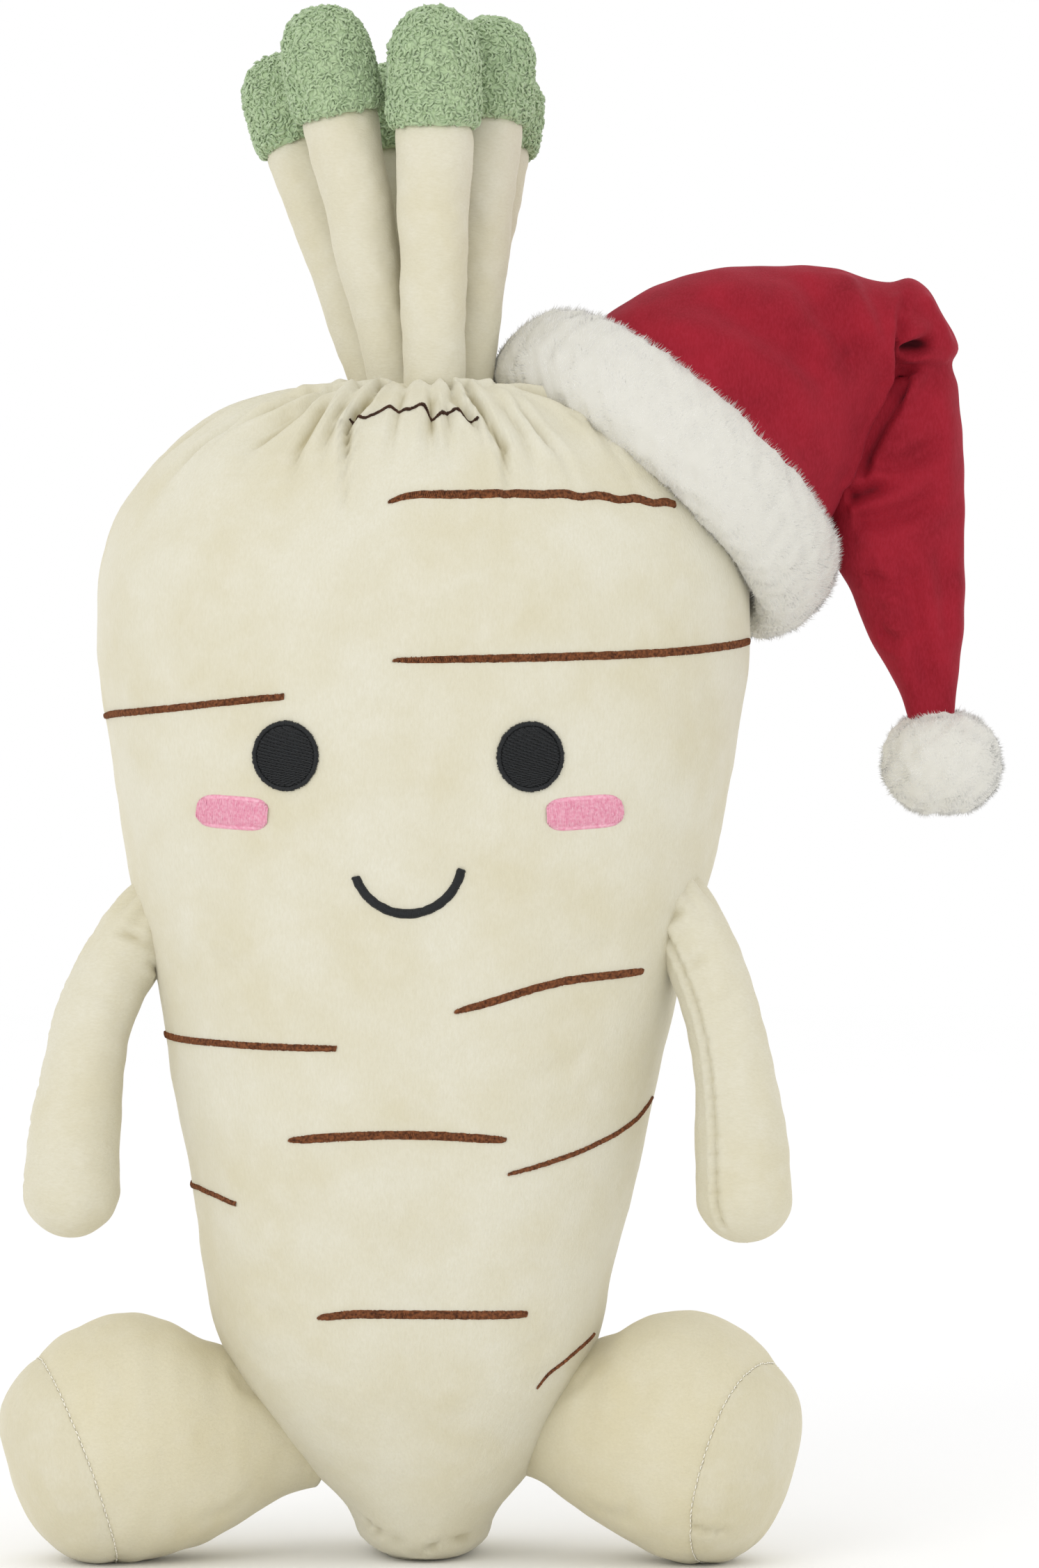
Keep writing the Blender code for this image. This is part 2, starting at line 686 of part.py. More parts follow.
def main():
    clear_scene()
    plush = material("cream_plush", PLUSH)
    sole_plush = material("sole_plush", SOLE_PLUSH)
    green = material("green_pile", GREEN_PILE)
    red = material("red_velour", RED_VELOUR)
    white = material("white_fur", WHITE_FUR)
    black = material("black_thread", BLACK_THREAD)
    pink = material("pink_thread", PINK_THREAD)
    brown = material("brown_thread", BROWN_THREAD)

    new_object("body", body_skin(0), plush)
    body_cutter = new_object("body_cutter", body_skin(GAP), cutter=True)
    for name, foot, top, radius, tip_length in STEMS:
        start, end = make_stem(name, foot, top, radius, plush, body_cutter)
        make_tip(name, start, end, tip_length * MM, green)
    make_arm("arm_left", LEFT_ARM, plush, body_cutter)
    make_arm("arm_right", RIGHT_ARM, plush, body_cutter)
    make_leg("left", LEFT_LEG, plush, sole_plush, body_cutter)
    make_leg("right", RIGHT_LEG, plush, sole_plush, body_cutter)

    brim_cutter = new_object("brim_cutter", brim_skin(GAP), cutter=True)
    hat_cutter = new_object("hat_cutter", hat_skin(GAP), cutter=True)
    cut_by(new_object("hat_brim", brim_skin(0), white), body_cutter)
    cut_by(new_object("hat_cloth", hat_skin(0), red), body_cutter, brim_cutter)
    cut_by(new_object("hat_pompom", pompom_skin, white), hat_cutter)

    make_face(black, pink)
    make_root_lines(brown, body_cutter)


main()
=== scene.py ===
from math import cos, pi, radians, sin

import bmesh
import bpy
import numpy as np
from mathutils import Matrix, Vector


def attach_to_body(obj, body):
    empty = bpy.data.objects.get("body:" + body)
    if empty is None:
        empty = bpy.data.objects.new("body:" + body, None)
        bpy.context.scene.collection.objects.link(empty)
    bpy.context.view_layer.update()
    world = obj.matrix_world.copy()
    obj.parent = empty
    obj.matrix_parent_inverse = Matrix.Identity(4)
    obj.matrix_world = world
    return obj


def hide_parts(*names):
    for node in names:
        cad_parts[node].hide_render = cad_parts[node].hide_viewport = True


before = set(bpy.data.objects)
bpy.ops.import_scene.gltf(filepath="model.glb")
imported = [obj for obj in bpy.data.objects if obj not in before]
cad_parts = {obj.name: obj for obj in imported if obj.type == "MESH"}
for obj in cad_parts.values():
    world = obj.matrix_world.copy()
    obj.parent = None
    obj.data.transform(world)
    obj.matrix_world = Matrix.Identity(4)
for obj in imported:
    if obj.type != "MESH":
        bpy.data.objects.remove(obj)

# Shapes are worked out in millimetres, in the same frame as the solids, and turned to metres at the end.
MM = 0.001
UP = np.array((0.0, 0.0, 1.0))
BACK = np.array((0.0, 1.0, 0.0))

# The body: height, half width, half depth, shift to the side and shift back of its cross-sections.
BODY_SECTIONS = (
    (0, 16.5, 30, -0.5, 17), (3, 23, 40, -0.5, 16), (9, 28.5, 47, -0.5, 15), (14, 30, 50, -0.5, 14.5),
    (20, 33, 54, 0, 14),
    (37, 47, 62, -1, 12), (58, 61.5, 70, -4, 10), (80, 75.5, 77, -5.5, 8), (98, 83, 81, -6.5, 7),
    (120, 87.5, 84, -6.5, 6), (160, 95.2, 88, -4.5, 3), (200, 103.2, 92, -4, 1), (240, 110.5, 95, -2, 0),
    (300, 125.8, 99, -1, 0), (350, 134.8, 102, 0, 0), (400, 140.6, 103, 0, 0), (430, 138.8, 101, 0, 0),
    (450, 131, 95, 0, 0), (470, 115.8, 85, 0, 0), (484, 99.5, 75, 0, 0), (494, 84, 65, 0, 0),
    (499.5, 68, 55, 0, 0), (502, 52, 45, 0, 0), (503, 35, 36, 0, 0),
)
BODY_POWER = 2.3
NECK_MIDDLE = (0, 0, 500)
BODY_RINGS = 235
BODY_SIDES = 420
RING_SPREAD = 1.6         # rings lie closer together towards the neck
PLEATS = 16
PLEAT_DEPTH = 1.2
PLEAT_TOP = 500
PLEAT_FOOT = 440

# Folds gathered into the neck that show from the front: x and height of points down each one, then how
# deep it sinks and how wide it is.
NECK_FOLDS = (
    (((12, 502), (15, 494.5), (18.9, 489.3), (25.8, 481.3), (30, 466)), 3.4, 1.9),
    (((17, 502), (21.2, 496.2), (29.2, 483.6), (34.9, 473.3), (36.1, 457.3), (36, 430)), 4.6, 1.8),
    (((26, 501), (34, 492), (41, 482), (47, 468), (50, 440)), 2.7, 2.3),
    (((-16, 502.3), (-23, 494), (-27.6, 488.5), (-30.4, 484), (-30.8, 472), (-31, 452), (-30.4, 416)),
     5.0, 1.7),
    (((3, 502.5), (4.6, 493), (4, 478), (5, 436)), 3.4, 1.8),
    (((-6, 502.6), (-8, 496), (-12, 478), (-14, 456)), 2.3, 1.9),
    (((10, 502.5), (11.5, 494), (12, 478), (13, 452)), 2.0, 2.0),
    (((-36, 500), (-51, 490), (-64, 480), (-73, 472), (-90, 432)), 3.2, 2.4),
    (((-46, 499), (-64, 491), (-81, 481.5), (-114, 440)), 3.4, 2.6),
    (((-33, 500.3), (-42, 489), (-51, 472.5), (-55, 430)), 3.5, 2.1),
    (((-25, 501.3), (-33, 491), (-39, 477), (-43, 446)), 3.0, 1.9),
    (((-40, 499.7), (-58, 488), (-72, 478), (-102, 438)), 2.4, 2.3),
    (((-54, 498), (-78, 487), (-98, 472), (-126, 428)), 3.2, 2.8),
    (((34, 501), (53, 497), (69.6, 488.9), (79, 476), (94, 446)), 3.3, 2.4),
    (((30, 501), (42, 490), (49.5, 480), (60, 468.5), (68, 438)), 2.9, 2.2),
    (((40, 500), (58, 494), (72, 482), (86, 456)), 2.4, 2.3),
)
GATHER_HEIGHT = 502.7     # where folds start, just under the gathered rim
SIDE_FOLDS = 21           # and more round the sides and back, at even turns give or take a little
SIDE_FOLDS_FROM = 62      # degrees round from the front
SIDE_SEAMS = (radians(92), radians(268))
SIDE_SEAM_SINK = 1.3
SIDE_SEAM_WIDTH = 1.8
SEAT_MIDDLE = (0, 17, 0)

# Slack and tension in the body's cloth lower down: x and height, depth, width.
BODY_CREASES = (
    (((-9, 7), (0, 6), (8, 9.5), (18, 10.5), (27, 15)), 2.4, 2.2),
    (((-29, 22), (-22, 15.5), (-12, 11), (-4, 8)), 1.9, 2.4),
    (((-74, 118), (-62, 109), (-50, 105)), 0.7, 3.5),
    (((-78, 98), (-66, 90), (-54, 86)), 0.6, 4.0),
    (((60, 104), (50, 96), (38, 93)), 0.6, 4.0),
    (((-92, 262), (-78, 254), (-62, 252)), 0.6, 5.0),
    (((84, 268), (70, 262), (52, 262)), 0.5, 5.0),
    (((74, 222), (60, 214), (44, 212)), 0.6, 4.5),
)

# The six stems: the x and y of the foot, the x, y and height of the top, the foot's radius and the
# length of the curly tip.
STEMS = {
    "left": ((-19, 12), (-53, 24, 610), 11.8, 44),
    "front_left": ((-11.5, -11.5), (-35.5, -22, 618), 11.3, 49),
    "front": ((5, -31.5), (5, -37, 611), 13, 53.5),
    "right": ((18.3, -7.3), (26.5, 0, 617), 11.8, 48.5),
    "back_right": ((13.5, 17.5), (29.5, 44.5, 611), 11.8, 39),
    "back_left": ((-6, 32.5), (-14.5, 51, 608), 11.8, 44),
}
NECK_HEIGHT = 503
STEM_TOP_RADIUS = 16.6
STEM_ROOT = 8
STEM_SEAM_SINK = 1.1
STEM_SEAM_WIDTH = 1.3
STEM_RINGS = 44
STEM_SIDES = 56
TIP_CORE_RADIUS = 19.3    # the cloth and the roots of the curls
TIP_OUTLINE = (
    (0, 0.88), (0.05, 0.97), (0.3, 1), (0.55, 0.98), (0.72, 0.91), (0.86, 0.73), (0.95, 0.46), (1, 0.02))
TIP_RINGS = 26
TIP_SIDES = 48
CURLS = 2250              # on one tip: a tuft about every 1.7 mm
CURL_POINTS = 5
CURL_SIZE = 1.9           # half the length of one bent tuft
CURL_THICKNESS = 0.66     # radius of its twisted fibres

# Arms: the centre line as x, y, height and radius, then the seams' turns round it from the right.
ARMS = {
    "left": (
        ((-98, -8, 292, 13), (-114.5, -14, 279, 15), (-128.5, -20, 259, 16.3), (-138, -23, 239, 16.6),
         (-144.5, -24, 213, 17), (-148, -24, 188, 19.2), (-149.2, -24, 160.5, 20.7)),
        (-50, 190)),
    "right": (
        ((90, -26, 300, 13), (105, -34, 284, 15.2), (116.2, -42, 264, 16), (123.7, -46, 246, 16.4),
         (128.7, -48, 226, 16.2), (132.3, -48, 207, 17.4), (134.8, -48, 187, 19.5),
         (136.3, -48, 159.5, 20.6)),
        (130, 310)),
}
# Folds on the arms' fronts, where they bend down from the shoulder: x and height, depth, width.
ARM_FOLDS = {
    "left": (
        (((-132, 271), (-122, 267), (-111, 262)), 2.3, 2.0),
        (((-118, 259), (-112, 253), (-108, 245)), 2.0, 1.8),
        (((-150, 252), (-141, 246), (-130, 243)), 0.8, 2.6),
    ),
    "right": (
        (((112, 282), (104, 276), (98, 266)), 1.8, 2.0),
        (((122, 262), (114, 257), (106, 250)), 1.4, 2.0),
        (((134, 245), (126, 241), (116, 238)), 0.8, 2.6),
    ),
}
ARM_START = 0.10          # the arm begins this far down its line, just under the body's cloth
ARM_RINGS = 104
ARM_SIDES = 84
ARM_SEAM_SINK = 1.9
ARM_SEAM_WIDTH = 1.5
SEAM_PUCKER = (0.8, 1.3)  # depth, width
SHOULDER_PUCKERS = 9
SHOULDER_PUCKER = (1.3, 2.3)

# Legs: reach from the hip, height of the centre line, half height and half width of the sections.
LEG_SECTIONS = (
    (-13, 48, 20, 24), (0, 50, 25, 29), (13, 51.5, 33, 34), (28, 51, 41, 40), (38, 50.5, 45.3, 43),
    (48, 52, 49.8, 46), (58, 52.5, 52.3, 47.5), (68, 52.5, 53.3, 48.5), (78, 51.5, 52.3, 48.2),
    (88, 50.5, 49, 46.5), (97, 50.5, 43.5, 42.5), (106, 52, 34, 35), (111, 54.5, 26, 28),
    (115.5, 58, 16, 18), (118, 61, 8, 9),
)
LEG_POWER = 2.15
LEG_SEAM_SINK = 1.2
LEG_SEAM_WIDTH = 1.8
LEG_RINGS = 112
LEG_SIDES = 104
HIP_BACK = 8
SEAM_HEIGHT = 45
TUCK_FULL = 30
TUCK_END = 75
# Each leg: side and x of its hip, how far it turns to the front, its share of the sections' length and
# height, the tuck under its hip, and where its sole's seam crosses it and which way that faces.
LEGS = {
    "left": {
        "side": -1, "hip_x": -62, "forward": radians(16), "length": 1.028, "height": 0.995, "tuck": 0,
        "seam": 88, "seam_front": radians(13), "seam_down": radians(20)},
    "right": {
        "side": 1, "hip_x": 50, "forward": radians(20), "length": 0.976, "height": 1.015, "tuck": 7,
        "seam": 93, "seam_front": radians(24), "seam_down": radians(16)},
}
# Folds on the legs' fronts: x and height, depth, width.
LEG_FOLDS = {
    "left": (
        (((-84, 86), (-76, 76), (-66, 70)), 1.0, 3.5),
        (((-100, 20), (-86, 22), (-72, 28)), 0.9, 3.5),
    ),
    "right": (
        (((110, 20), (120, 16.5), (133, 18)), 1.8, 2.0),
        (((74, 88), (66, 78), (58, 72)), 1.0, 3.5),
        (((92, 22), (78, 24), (66, 30)), 0.9, 3.5),
    ),
}
SEAM_SINK = 0.9           # how far cloth is pulled in at a seam
SEAM_WIDTH = 2.0
SEAM_STITCH = 2.8         # from one stitch to the next, as on a sewn toy
SEAM_THREAD = 0.3

# The hat's fur brim, a ring round the right shoulder.
BRIM_CENTRE = np.array((103, 5, 466.5))
BRIM_SIDE = np.array((0.753, 0.0, -0.658))
BRIM_LEAN = radians(14)
BRIM_HALF_LENGTH = 74.8
BRIM_HALF_DEPTH = 64
BRIM_CORE_THICK = 13.2    # half the thickness of the band and the dense part of its pile
BRIM_CORE_WIDTH = 22.6
BRIM_POWER = 2.15
BRIM_RINGS = 200
BRIM_SIDES = 60
BRIM_HAIRS = 38500
BRIM_WISPS = 1000
BRIM_HAIR = 2.9           # length of single hairs out of the dense part

# The hat's cloth: x and height of the outer edge and of the inner edge, and half the depth.
HAT_SECTIONS = (
    (68, 492, 131, 432, 40), (70, 526, 163, 436, 57), (83, 538, 174, 444, 58), (100, 547.5, 181, 458, 54),
    (124, 554.5, 187, 474, 47), (150, 556, 192, 487, 40), (178, 555, 197.5, 496.5, 34),
    (201, 549.4, 200.2, 501.5, 29.5), (209.5, 551.2, 201.7, 503.2, 27.5), (216.8, 546.8, 202.8, 504.5, 25.5),
    (223, 536.8, 203.8, 505.2, 23), (229.3, 526, 203.2, 505, 21.5), (230, 520.8, 201.8, 504, 20.8),
    (227.8, 515.6, 199.5, 502, 20.2), (230, 505, 194, 497, 19.6), (232, 488, 184, 485.5, 19),
    (233.3, 470, 176.5, 470, 19),
    (234, 455, 171.5, 457, 19), (234, 437, 174, 438.5, 18.5), (233.8, 413, 185.5, 412, 17),
    (232.2, 391, 195, 391, 14), (230, 373, 205, 374, 10.5), (228.5, 355, 211, 356, 8),
)
HAT_RINGS = 290
HAT_SIDES = 150
HAT_POWER = 2.1
HAT_BACK = 6
# Its folds: x and height down each one, depth, width, how far the cloth on its left stands over the cloth
# on its right, and the shares of its length over which it fades in and out.
HAT_FOLDS = (
    (((206.5, 546), (203.5, 533), (203, 519), (202.7, 501), (195.5, 487), (189, 475), (186.5, 456)),
     3.8, 2.6, -3.6, 0.3, 0.15),
    (((208, 545), (204.8, 535), (203.3, 524)), 1.7, 1.8, -1.0, 0.3, 0.1),
    (((203.5, 517.5), (208, 519.3), (214, 521), (222, 523.8)), 7.0, 2.8, 2.0, 0.05, 0.5),
    (((206, 511), (204.8, 504), (201.8, 496), (196, 487)), 3.0, 3.2, 0, 0.2, 0.3),
    (((206, 527), (214, 528.5), (224, 530)), -1.6, 3.6, 0, 0.2, 0.2),
    (((206, 515), (216, 516), (226, 516)), -2.0, 2.6, 0, 0.2, 0.2),
    (((214, 512), (209.5, 503), (203, 494)), -2.4, 3.2, 0, 0.2, 0.3),
    (((181, 456), (187, 457.5), (194, 459.5), (203, 462), (213, 464)), 5.0, 3.2, 0, 0.08, 0.6),
    (((192, 468), (204, 470), (216, 476), (224, 484)), 3.2, 4.0, 0, 0.2, 0.3),
    (((184, 447), (196, 446), (212, 452), (226, 462)), 3.4, 4.2, 0, 0.1, 0.3),
    (((219, 506), (223, 488), (224, 468), (222, 446)), -1.8, 5.6, 0, 0.2, 0.25),
    (((203, 432), (211, 408), (216, 385), (219, 366)), 2.6, 4.2, 0, 0.2, 0.25),
    (((222, 438), (224, 414), (223, 388)), 2.2, 4.0, 0, 0.2, 0.25),
    (((190, 424), (199, 418), (210, 416)), 2.3, 3.0, 0, 0.05, 0.5),
    (((196, 398), (204, 394), (213, 394)), 1.9, 2.8, 0, 0.05, 0.5),
    (((162, 552), (170, 534), (179, 520), (187, 506)), 3.2, 6.0, 0, 0.2, 0.25),
    (((178, 553), (184, 540), (191, 526), (197, 512)), -2.6, 5.0, 0, 0.2, 0.25),
    (((96, 530), (121, 521), (146, 509), (170, 494)), -2.7, 8.0, 0, 0.2, 0.25),
    (((118, 543), (138, 530), (160, 514), (178, 500)), 2.7, 7.0, 0, 0.2, 0.25),
    (((128, 494), (150, 483), (170, 468)), 2.5, 6.0, 0, 0.2, 0.25),
    (((213, 544), (221, 533), (224, 522)), -1.8, 4.6, 0, 0.2, 0.25),
)

POMPOM_CENTRE = np.array((223.7, 6, 342.2))
POMPOM_CORE = np.array((25.2, 25.2, 21.8))
POMPOM_POWER = 2.35
POMPOM_RINGS = 48
POMPOM_SIDES = 90
POMPOM_HAIRS = 14000
POMPOM_WISPS = 200
POMPOM_HAIR = 2.5

# Embroidery. Thread lies 0.5 mm wide, side by side.
THREAD_STEP = 0.5
THREAD_RADIUS = 0.34
# How far the middle of a thread stands over the cloth.
LINE_PROUD = 0.65
FILL_PROUD = 0.7
CHEEK_PROUD = 0.9
MOUTH_PROUD = 0.95
TOP_PROUD = 1.15          # stitches over other stitches: an eye's rim and the cheeks' short ones
FACE_X = -5
# Eyes: x and height of the middle, and tilt. Cheeks: the same, and half the width.
EYES = {"left": (-55.6, 344.5, radians(7)), "right": (45.7, 344.2, radians(-2))}
EYE_HALF_WIDTH = 14.2
EYE_HALF_HEIGHT = 14.85
EYE_RIM = 2.3
FILL_STITCH = 4.2
CHEEKS = {"left": (-78.0, 321, radians(-4.5), 14.9), "right": (68.2, 321, radians(4.5), 15.9)}
CHEEK_HALF_HEIGHT = 7.35
CHEEK_POWER = 4.5
MOUTH_RADIUS = 22.8
MOUTH_HEIGHT = 302
MOUTH_ARC = radians(74.5)
MOUTH_TILT = radians(4)
MOUTH_WIDTH = 4.7

# The brown lines that stand for a root's rings: degrees round from the front and height of points, then
# the width in the middle and at each end.
LINES = {
    "line_neck": (
        ((-15.2, 486.9), (-14, 487.3), (-12.1, 485.5), (-10.1, 487.5), (-6.5, 490.9), (-2, 489.2), (0, 491),
         (2.4, 486.2), (5.6, 489.4), (9, 487.5), (11.6, 485.8)), 1.05, 0.6, 0.5),
    "line_brow": (
        ((-4, 449.8), (-2.4, 451.7), (6, 452.7), (17, 453), (34, 452.3), (52.5, 450.6)), 4.4, 1.0, 3.8),
    "line_right_high": (((-3, 384), (15, 385), (38, 387), (80, 393.8)), 4.2, 1.4, 3.4),
    "line_left_high": (((-84, 362), (-47, 364.5), (-21, 369)), 3.6, 2.7, 3.3),
    "line_right_mid": (((6.5, 238.5), (26.5, 249.5), (53, 254.5)), 4.2, 1.2, 3.0),
    "line_left_mid": (((-87, 226), (-42, 224), (-14.5, 223)), 3.5, 1.9, 2.9),
    "line_centre": (((-27, 184.5), (-3, 187), (20, 185)), 4.5, 1.0, 2.0),
    "line_right_low": (((21.5, 170.5), (43, 178.5), (63, 188.5), (80, 199)), 2.5, 1.1, 1.0),
    "line_left_low": (((-92, 161), (-59.5, 159.5), (-47.5, 156.5)), 2.5, 1.5, 2.2),
    "line_belly": (((-22, 109.5), (-11, 111.5), (4, 111), (33, 110.5)), 4.5, 1.0, 3.0),
    "line_right_foot": (((44, 77.8), (46, 81.5), (55, 89), (72, 98)), 1.8, 0.8, 0.9),
}
LINE_RADIUS = 110

# The studio, in metres.
FLOOR_HALF = 6
FLOOR_MOTTLE = 1000 / 3   # mm
LIGHT_AIM = (0.03, 0, 0.36)
CAMERA_PLACE = (0.04125, -2.4, 0.3329)
CAMERA_LENS = 127.8
SENSOR = 36


def smooth_step(low, high, value):
    t = np.clip((value - low) / (high - low), 0, 1)
    return t * t * (3 - 2 * t)


def unit(rows):
    return rows / np.maximum(np.linalg.norm(rows, axis=-1, keepdims=True), 1e-12)


def smooth_curve(rows, shares):
    """Rows of numbers at shares, from 0 to 1, of the length of a smooth curve through the given rows."""
    rows = np.asarray(rows, float)
    steps = np.linalg.norm(np.diff(rows, axis=0), axis=1)
    places = np.append(0, np.cumsum(steps))
    chords = np.diff(rows, axis=0) / steps[:, None]
    before, after = steps[:-1, None], steps[1:, None]
    inner = (chords[:-1] * after + chords[1:] * before) / (before + after)
    slopes = np.vstack([chords[:1], inner, chords[-1:]])
    place = np.clip(shares, 0, 1) * places[-1]
    i = np.clip(np.searchsorted(places, place, side="right") - 1, 0, len(steps) - 1)
    step = steps[i][..., None]
    t = ((place - places[i]) / steps[i])[..., None]
    return (
        rows[i] * (2 * t**3 - 3 * t**2 + 1)
        + slopes[i] * step * (t**3 - 2 * t**2 + t)
        + rows[i + 1] * (3 * t**2 - 2 * t**3)
        + slopes[i + 1] * step * (t**3 - t**2)
    )


def turns_round(count):
    return 2 * pi * np.arange(count) / count


def round_out(angle, power):
    """The unit super-ellipse's two coordinates at angles from its second axis."""
    s, c = np.sin(angle), np.cos(angle)
    return np.sign(s) * np.abs(s) ** (2 / power), np.sign(c) * np.abs(c) ** (2 / power)


def soft_noise(points, size, seed):
    """A smooth random value from about -1 to 1 at each point, that changes over lengths of that size."""
    draw = np.random.default_rng(seed)
    waves = unit(draw.normal(size=(7, 3))) * draw.uniform(0.6, 1.5, (7, 1)) * 2 * pi / size
    return np.sin(points @ waves.T + draw.uniform(0, 2 * pi, 7)).sum(axis=-1) / 3.2


def wander(points, size, seeds):
    """A direction at each point that changes smoothly from place to place."""
    return np.stack([soft_noise(points, size, seed) for seed in seeds], axis=-1)


def nearness(points, route):
    """Each point's offset from the nearest place on a route, and how far along the route that is."""
    best = np.full(len(points), np.inf)
    along = np.zeros(len(points))
    offset = np.zeros_like(points)
    heading = np.zeros_like(points)
    for i, (start, end) in enumerate(zip(route, route[1:])):
        leg = end - start
        t = np.clip(((points - start) @ leg) / (leg @ leg), 0, 1)
        away = points - (start + t[:, None] * leg)
        closer = np.linalg.norm(away, axis=1) < best
        best[closer] = np.linalg.norm(away[closer], axis=1)
        offset[closer] = away[closer]
        heading[closer] = leg / np.linalg.norm(leg)
        along[closer] = (i + t[closer]) / (len(route) - 1)
    return best, offset, heading, along


def press_fold(points, outwards, route, depth, width, fade_in=0.25, fade_out=0.3, flank=0.35, lap=0):
    """Sinks a crease along a route in space, with a low swelling to each side of it.

    lap lifts the cloth on the route's left, and lowers it on its right, as where one fold lies on another.
    """
    near = np.flatnonzero(
        np.all((points > route.min(axis=0) - 6 * width) & (points < route.max(axis=0) + 6 * width), axis=1))
    away, offset, heading, along = nearness(points[near], route)
    ratio = away / width
    ends = smooth_step(0, fade_in, along) if fade_in else 1
    ends = ends * (smooth_step(0, fade_out, 1 - along) if fade_out else 1)
    press = -np.exp(-ratio**2) + flank * np.exp(-((ratio - 2) ** 2))
    move = depth * press
    if lap:
        left = np.einsum("ij,ij->i", np.cross(heading, offset), outwards[near])
        move = move + lap * np.tanh(left / width) * np.exp(-((ratio / 3) ** 2))
    points[near] += outwards[near] * (move * ends)[:, None]


def on_cloth(points, outwards, flat_route, facing=-1):
    """The places on a cloth's front (or back, where facing is 1) that lie at points given as x and height."""
    towards = points[outwards[:, 1] * facing > 0.02]
    gaps = [((towards[:, ::2] - place) ** 2).sum(axis=1) for place in flat_route]
    return towards[np.argmin(gaps, axis=1)]


def press_fronts(points, before, outwards, folds):
    """Presses in folds given as x and height of points, depth and width, on a cloth's front."""
    for route, depth, width in folds:
        press_fold(points, outwards, on_cloth(before, outwards, route), depth, width)


def loosened(grid, *waves):
    """A grid's points, made a little uneven, and the directions out of it.

    Each wave has a length, a seed and a height.
    """
    points, outwards = grid.reshape(-1, 3).copy(), grid_outwards(grid).reshape(-1, 3)
    points += outwards * sum(soft_noise(points, size, seed) * height for size, seed, height in waves)[:, None]
    return points, outwards


def grid_outwards(grid):
    """The direction out of a grid of points, rings first, that closes on itself the second way."""
    along = np.gradient(grid, axis=0)
    around = np.roll(grid, -1, axis=1) - np.roll(grid, 1, axis=1)
    out = unit(np.cross(around, along))
    middle = grid.mean(axis=1, keepdims=True)
    inwards = np.einsum("ijk,ijk->", out, grid - middle) < 0
    return -out if inwards else out


def skin(grid, wrap=False, start=None, end=None):
    """Points and triangles of a closed skin over rings of points."""
    rings, sides, _ = grid.shape
    index = np.arange(rings * sides).reshape(rings, sides)
    here = index if wrap else index[:-1]
    there = np.roll(index, -1, axis=0) if wrap else index[1:]
    here_next, there_next = np.roll(here, -1, axis=1), np.roll(there, -1, axis=1)
    triangles = [
        np.stack([here, here_next, there_next], axis=-1).reshape(-1, 3),
        np.stack([here, there_next, there], axis=-1).reshape(-1, 3),
    ]
    points = grid.reshape(-1, 3)
    if not wrap:
        start = grid[0].mean(axis=0) if start is None else np.asarray(start, float)
        end = grid[-1].mean(axis=0) if end is None else np.asarray(end, float)
        first, last = len(points), len(points) + 1
        points = np.vstack([points, start, end])
        triangles.append(np.stack([index[0], np.full(sides, first), np.roll(index[0], -1)], axis=-1))
        triangles.append(np.stack([index[-1], np.roll(index[-1], -1), np.full(sides, last)], axis=-1))
    return points, np.vstack(triangles)


def tubes(paths, radii, helpers, sides=4, rooted=False):
    """Closed tubes along paths, an array of number, points, 3, pointed at both ends.

    Rooted ones start with a flat cut, and have three sides. A helper is a direction across each path that
    keeps its tube from twisting.
    """
    count, length, _ = paths.shape
    first = 0 if rooted else 1
    along = unit(np.gradient(paths, axis=1))
    helpers = helpers[:, None, :]
    across = unit(helpers - (helpers * along).sum(axis=-1, keepdims=True) * along)
    other = np.cross(along, across)
    turns = turns_round(sides)[:, None]
    radii = np.broadcast_to(radii, (count, length))[:, first:-1, None, None]
    rings = np.cos(turns) * across[:, first:-1, None] + np.sin(turns) * other[:, first:-1, None]
    rings = paths[:, first:-1, None] + radii * rings
    tips = [paths[:, -1:]] if rooted else [paths[:, :1], paths[:, -1:]]
    block = np.concatenate([rings.reshape(count, -1, 3)] + tips, axis=1)
    far_tip = block.shape[1] - 1
    last = (rings.shape[1] - 1) * sides
    triangles = [(0, 2, 1)] if rooted else [(k, far_tip - 1, (k + 1) % sides) for k in range(sides)]
    for k in range(sides):
        after = (k + 1) % sides
        for ring in range(0, last, sides):
            a, b = ring + k, ring + after
            triangles += [(a, b, b + sides), (a, b + sides, a + sides)]
        triangles.append((last + k, last + after, far_tip))
    shift = block.shape[1] * np.arange(count)[:, None, None]
    return block.reshape(-1, 3), (np.array(triangles)[None] + shift).reshape(-1, 3)


def gather(*parts):
    """Several sets of points and triangles as one."""
    points, triangles, count = [], [], 0
    for part_points, part_triangles in parts:
        points.append(part_points)
        triangles.append(part_triangles + count)
        count += len(part_points)
    return np.vstack(points), np.vstack(triangles)


def depth_of_folds(points, before, outwards, shallow, deep):
    """How far places lie pressed into folds and seams, as the share of painted shade there: 0 at the shallow
    depth in mm, and 1 at the deep one.
    """
    return smooth_step(shallow, deep, -np.einsum("ij,ij->i", points - before, outwards))


def add_object(name, data):
    made = bpy.data.objects.new(name, data)
    bpy.context.scene.collection.objects.link(made)
    return made


